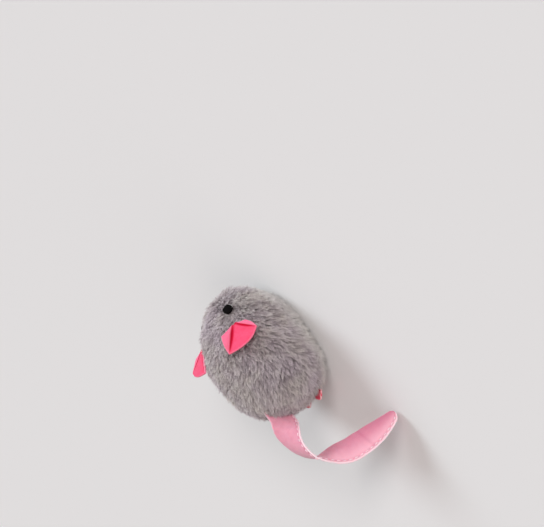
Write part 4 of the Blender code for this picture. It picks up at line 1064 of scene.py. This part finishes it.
fronts, backs = stitch_row(1, STITCH_START), stitch_row(-1, STITCH_START + STITCH_PITCH / 2)
shift = len(fronts[0])
backs = (backs[0], backs[1] + shift, backs[2] + shift)
mesh = fast_mesh("tail_stitches", *map(np.concatenate, zip(fronts, backs)))
stitching = add_object("tail_stitches", mesh, thread_look, "tail")
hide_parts("tail_stitching")


def foot_grid(side):
    """Middle surface of a felt foot: a tab with a rounded tip, a little cupped, its root inside the fur."""
    tilt = math.radians(FOOT_TILT_DEGREES)
    out = np.array((0, math.cos(tilt), math.sin(tilt)))
    raised = np.array((0, -math.sin(tilt), math.cos(tilt)))
    base = np.array((side * FOOT_SPREAD / 2, FOOT_STATION, FOOT_HEIGHT))
    across, along = np.linspace(-1, 1, FOOT_STEPS), np.linspace(0, 1, FOOT_STEPS)
    bulge = np.sin(math.pi * np.clip(along * 1.1, 0, 1)) ** 0.8
    half = FOOT_WIDTH / 2 * (FOOT_ROOT_SHARE + (1 - FOOT_ROOT_SHARE) * bulge)
    tip = FOOT_REACH * (1 - 0.35 * np.abs(across) ** 2.4)
    x = across[None] * half[:, None]
    y = along[:, None] * tip[None]
    ripple = 0.00010 * waves(np.stack([x, y, x * 0], -1), 0.004, 61 + side, 2)
    lift = FOOT_CUP * (across[None] ** 2) * along[:, None] + ripple
    grid = base + x[..., None] * np.array((1.0, 0, 0)) + y[..., None] * out + lift[..., None] * raised
    edge = np.maximum(share_between(np.abs(across)[None], 0.86, 1), share_between(along[:, None], 0.88, 1))
    return grid, edge


for word, side in SIDES.items():
    grid, edge = foot_grid(side)
    thickness = FOOT_THICKNESS * (0.80 - 0.35 * edge)
    name = f"hind_foot_{word}"
    mesh = felt_solid(f"{name}_felt", grid, grid_normals(grid), thickness)
    # Paler edges: painted light on the felt's cut edge.
    set_tone(mesh, *both_faces(np.zeros_like(edge), edge**2 * 0.9, np.zeros_like(edge)))
    foot = add_object(f"{name}_felt", mesh, foot_look, f"{word}_foot")
    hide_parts(name)

# Materials of the sound module, whose CAD solids stay
HARD_LOOKS = {
    "case_plastic": ("case_plastic", (0.76, 0.76, 0.74), (0.82, 0.82, 0.80), 900, 0.42),
    "steel": ("bright_steel", (0.56, 0.56, 0.57), (0.66, 0.66, 0.67), 1400, 0.3, 1.0),
    "brass": ("sounder_brass", (0.66, 0.47, 0.19), (0.76, 0.56, 0.25), 1200, 0.32, 1.0),
    "ceramic": ("sounder_ceramic", (0.70, 0.69, 0.65), (0.78, 0.77, 0.73), 1500, 0.55),
    "laminate": ("board_laminate", (0.03, 0.16, 0.06), (0.05, 0.23, 0.09), 2500, 0.45),
    "resin": ("black_resin", (0.014, 0.014, 0.014), (0.028, 0.028, 0.028), 1100, 0.35),
    "red_insulation": ("red_insulation", (0.52, 0.025, 0.025), (0.64, 0.035, 0.035), 1500, 0.45),
    "black_insulation": ("black_insulation", (0.014, 0.014, 0.014), (0.026, 0.026, 0.026), 1500, 0.45),
}
hard = {slot: hard_material(*look) for slot, look in HARD_LOOKS.items()}
for part in frame["record"]["subparts"]:
    if part["material_slot"] in hard:
        shown = frame["nodes"][part["node"]]
        for holder in shown.material_slots:
            holder.material = hard[part["material_slot"]]

# Stage and light
floor_look = new_material("floor", Roughness=0.9, Specular_IOR_Level=0.1)[0]
adjust(floor_look, Base_Color=(0.77, 0.77, 0.775, 1))
floor_mesh = bpy.data.meshes.new("floor")
floor_mesh.from_pydata([(-1.5, -1.5, 0), (1.5, -1.5, 0), (1.5, 1.5, 0), (-1.5, 1.5, 0)], [], [(0, 1, 2, 3)])
floor_mesh.materials.append(floor_look)
floor = linked("floor", floor_mesh)


def sun(name, energy, degrees, colour, direction):
    """A soft sun that shines from a direction."""
    data = bpy.data.lights.new(name, "SUN")
    data.energy, data.angle, data.color = energy, math.radians(degrees), colour
    linked(name, data).rotation_euler = Vector(direction).to_track_quat("Z", "Y").to_euler()


sun("key", 1.75, 30, (0.85, 0.95, 1.0), (0.14, -0.86, 0.56))
sun("fill", 1.3, 22, (1.0, 0.95, 0.93), (-0.80, -0.35, 0.52))
sun("back", 0.70, 80, (1.0, 0.93, 0.89), (-0.50, 0.78, 0.38))
world = bpy.data.worlds.new("world")
bpy.context.scene.world = world
world.use_nodes = True
background = world.node_tree.nodes["Background"].inputs
background["Color"].default_value = (1.0, 0.90, 0.87, 1)
background["Strength"].default_value = 0.41
bpy.context.scene.view_settings.view_transform = "Standard"
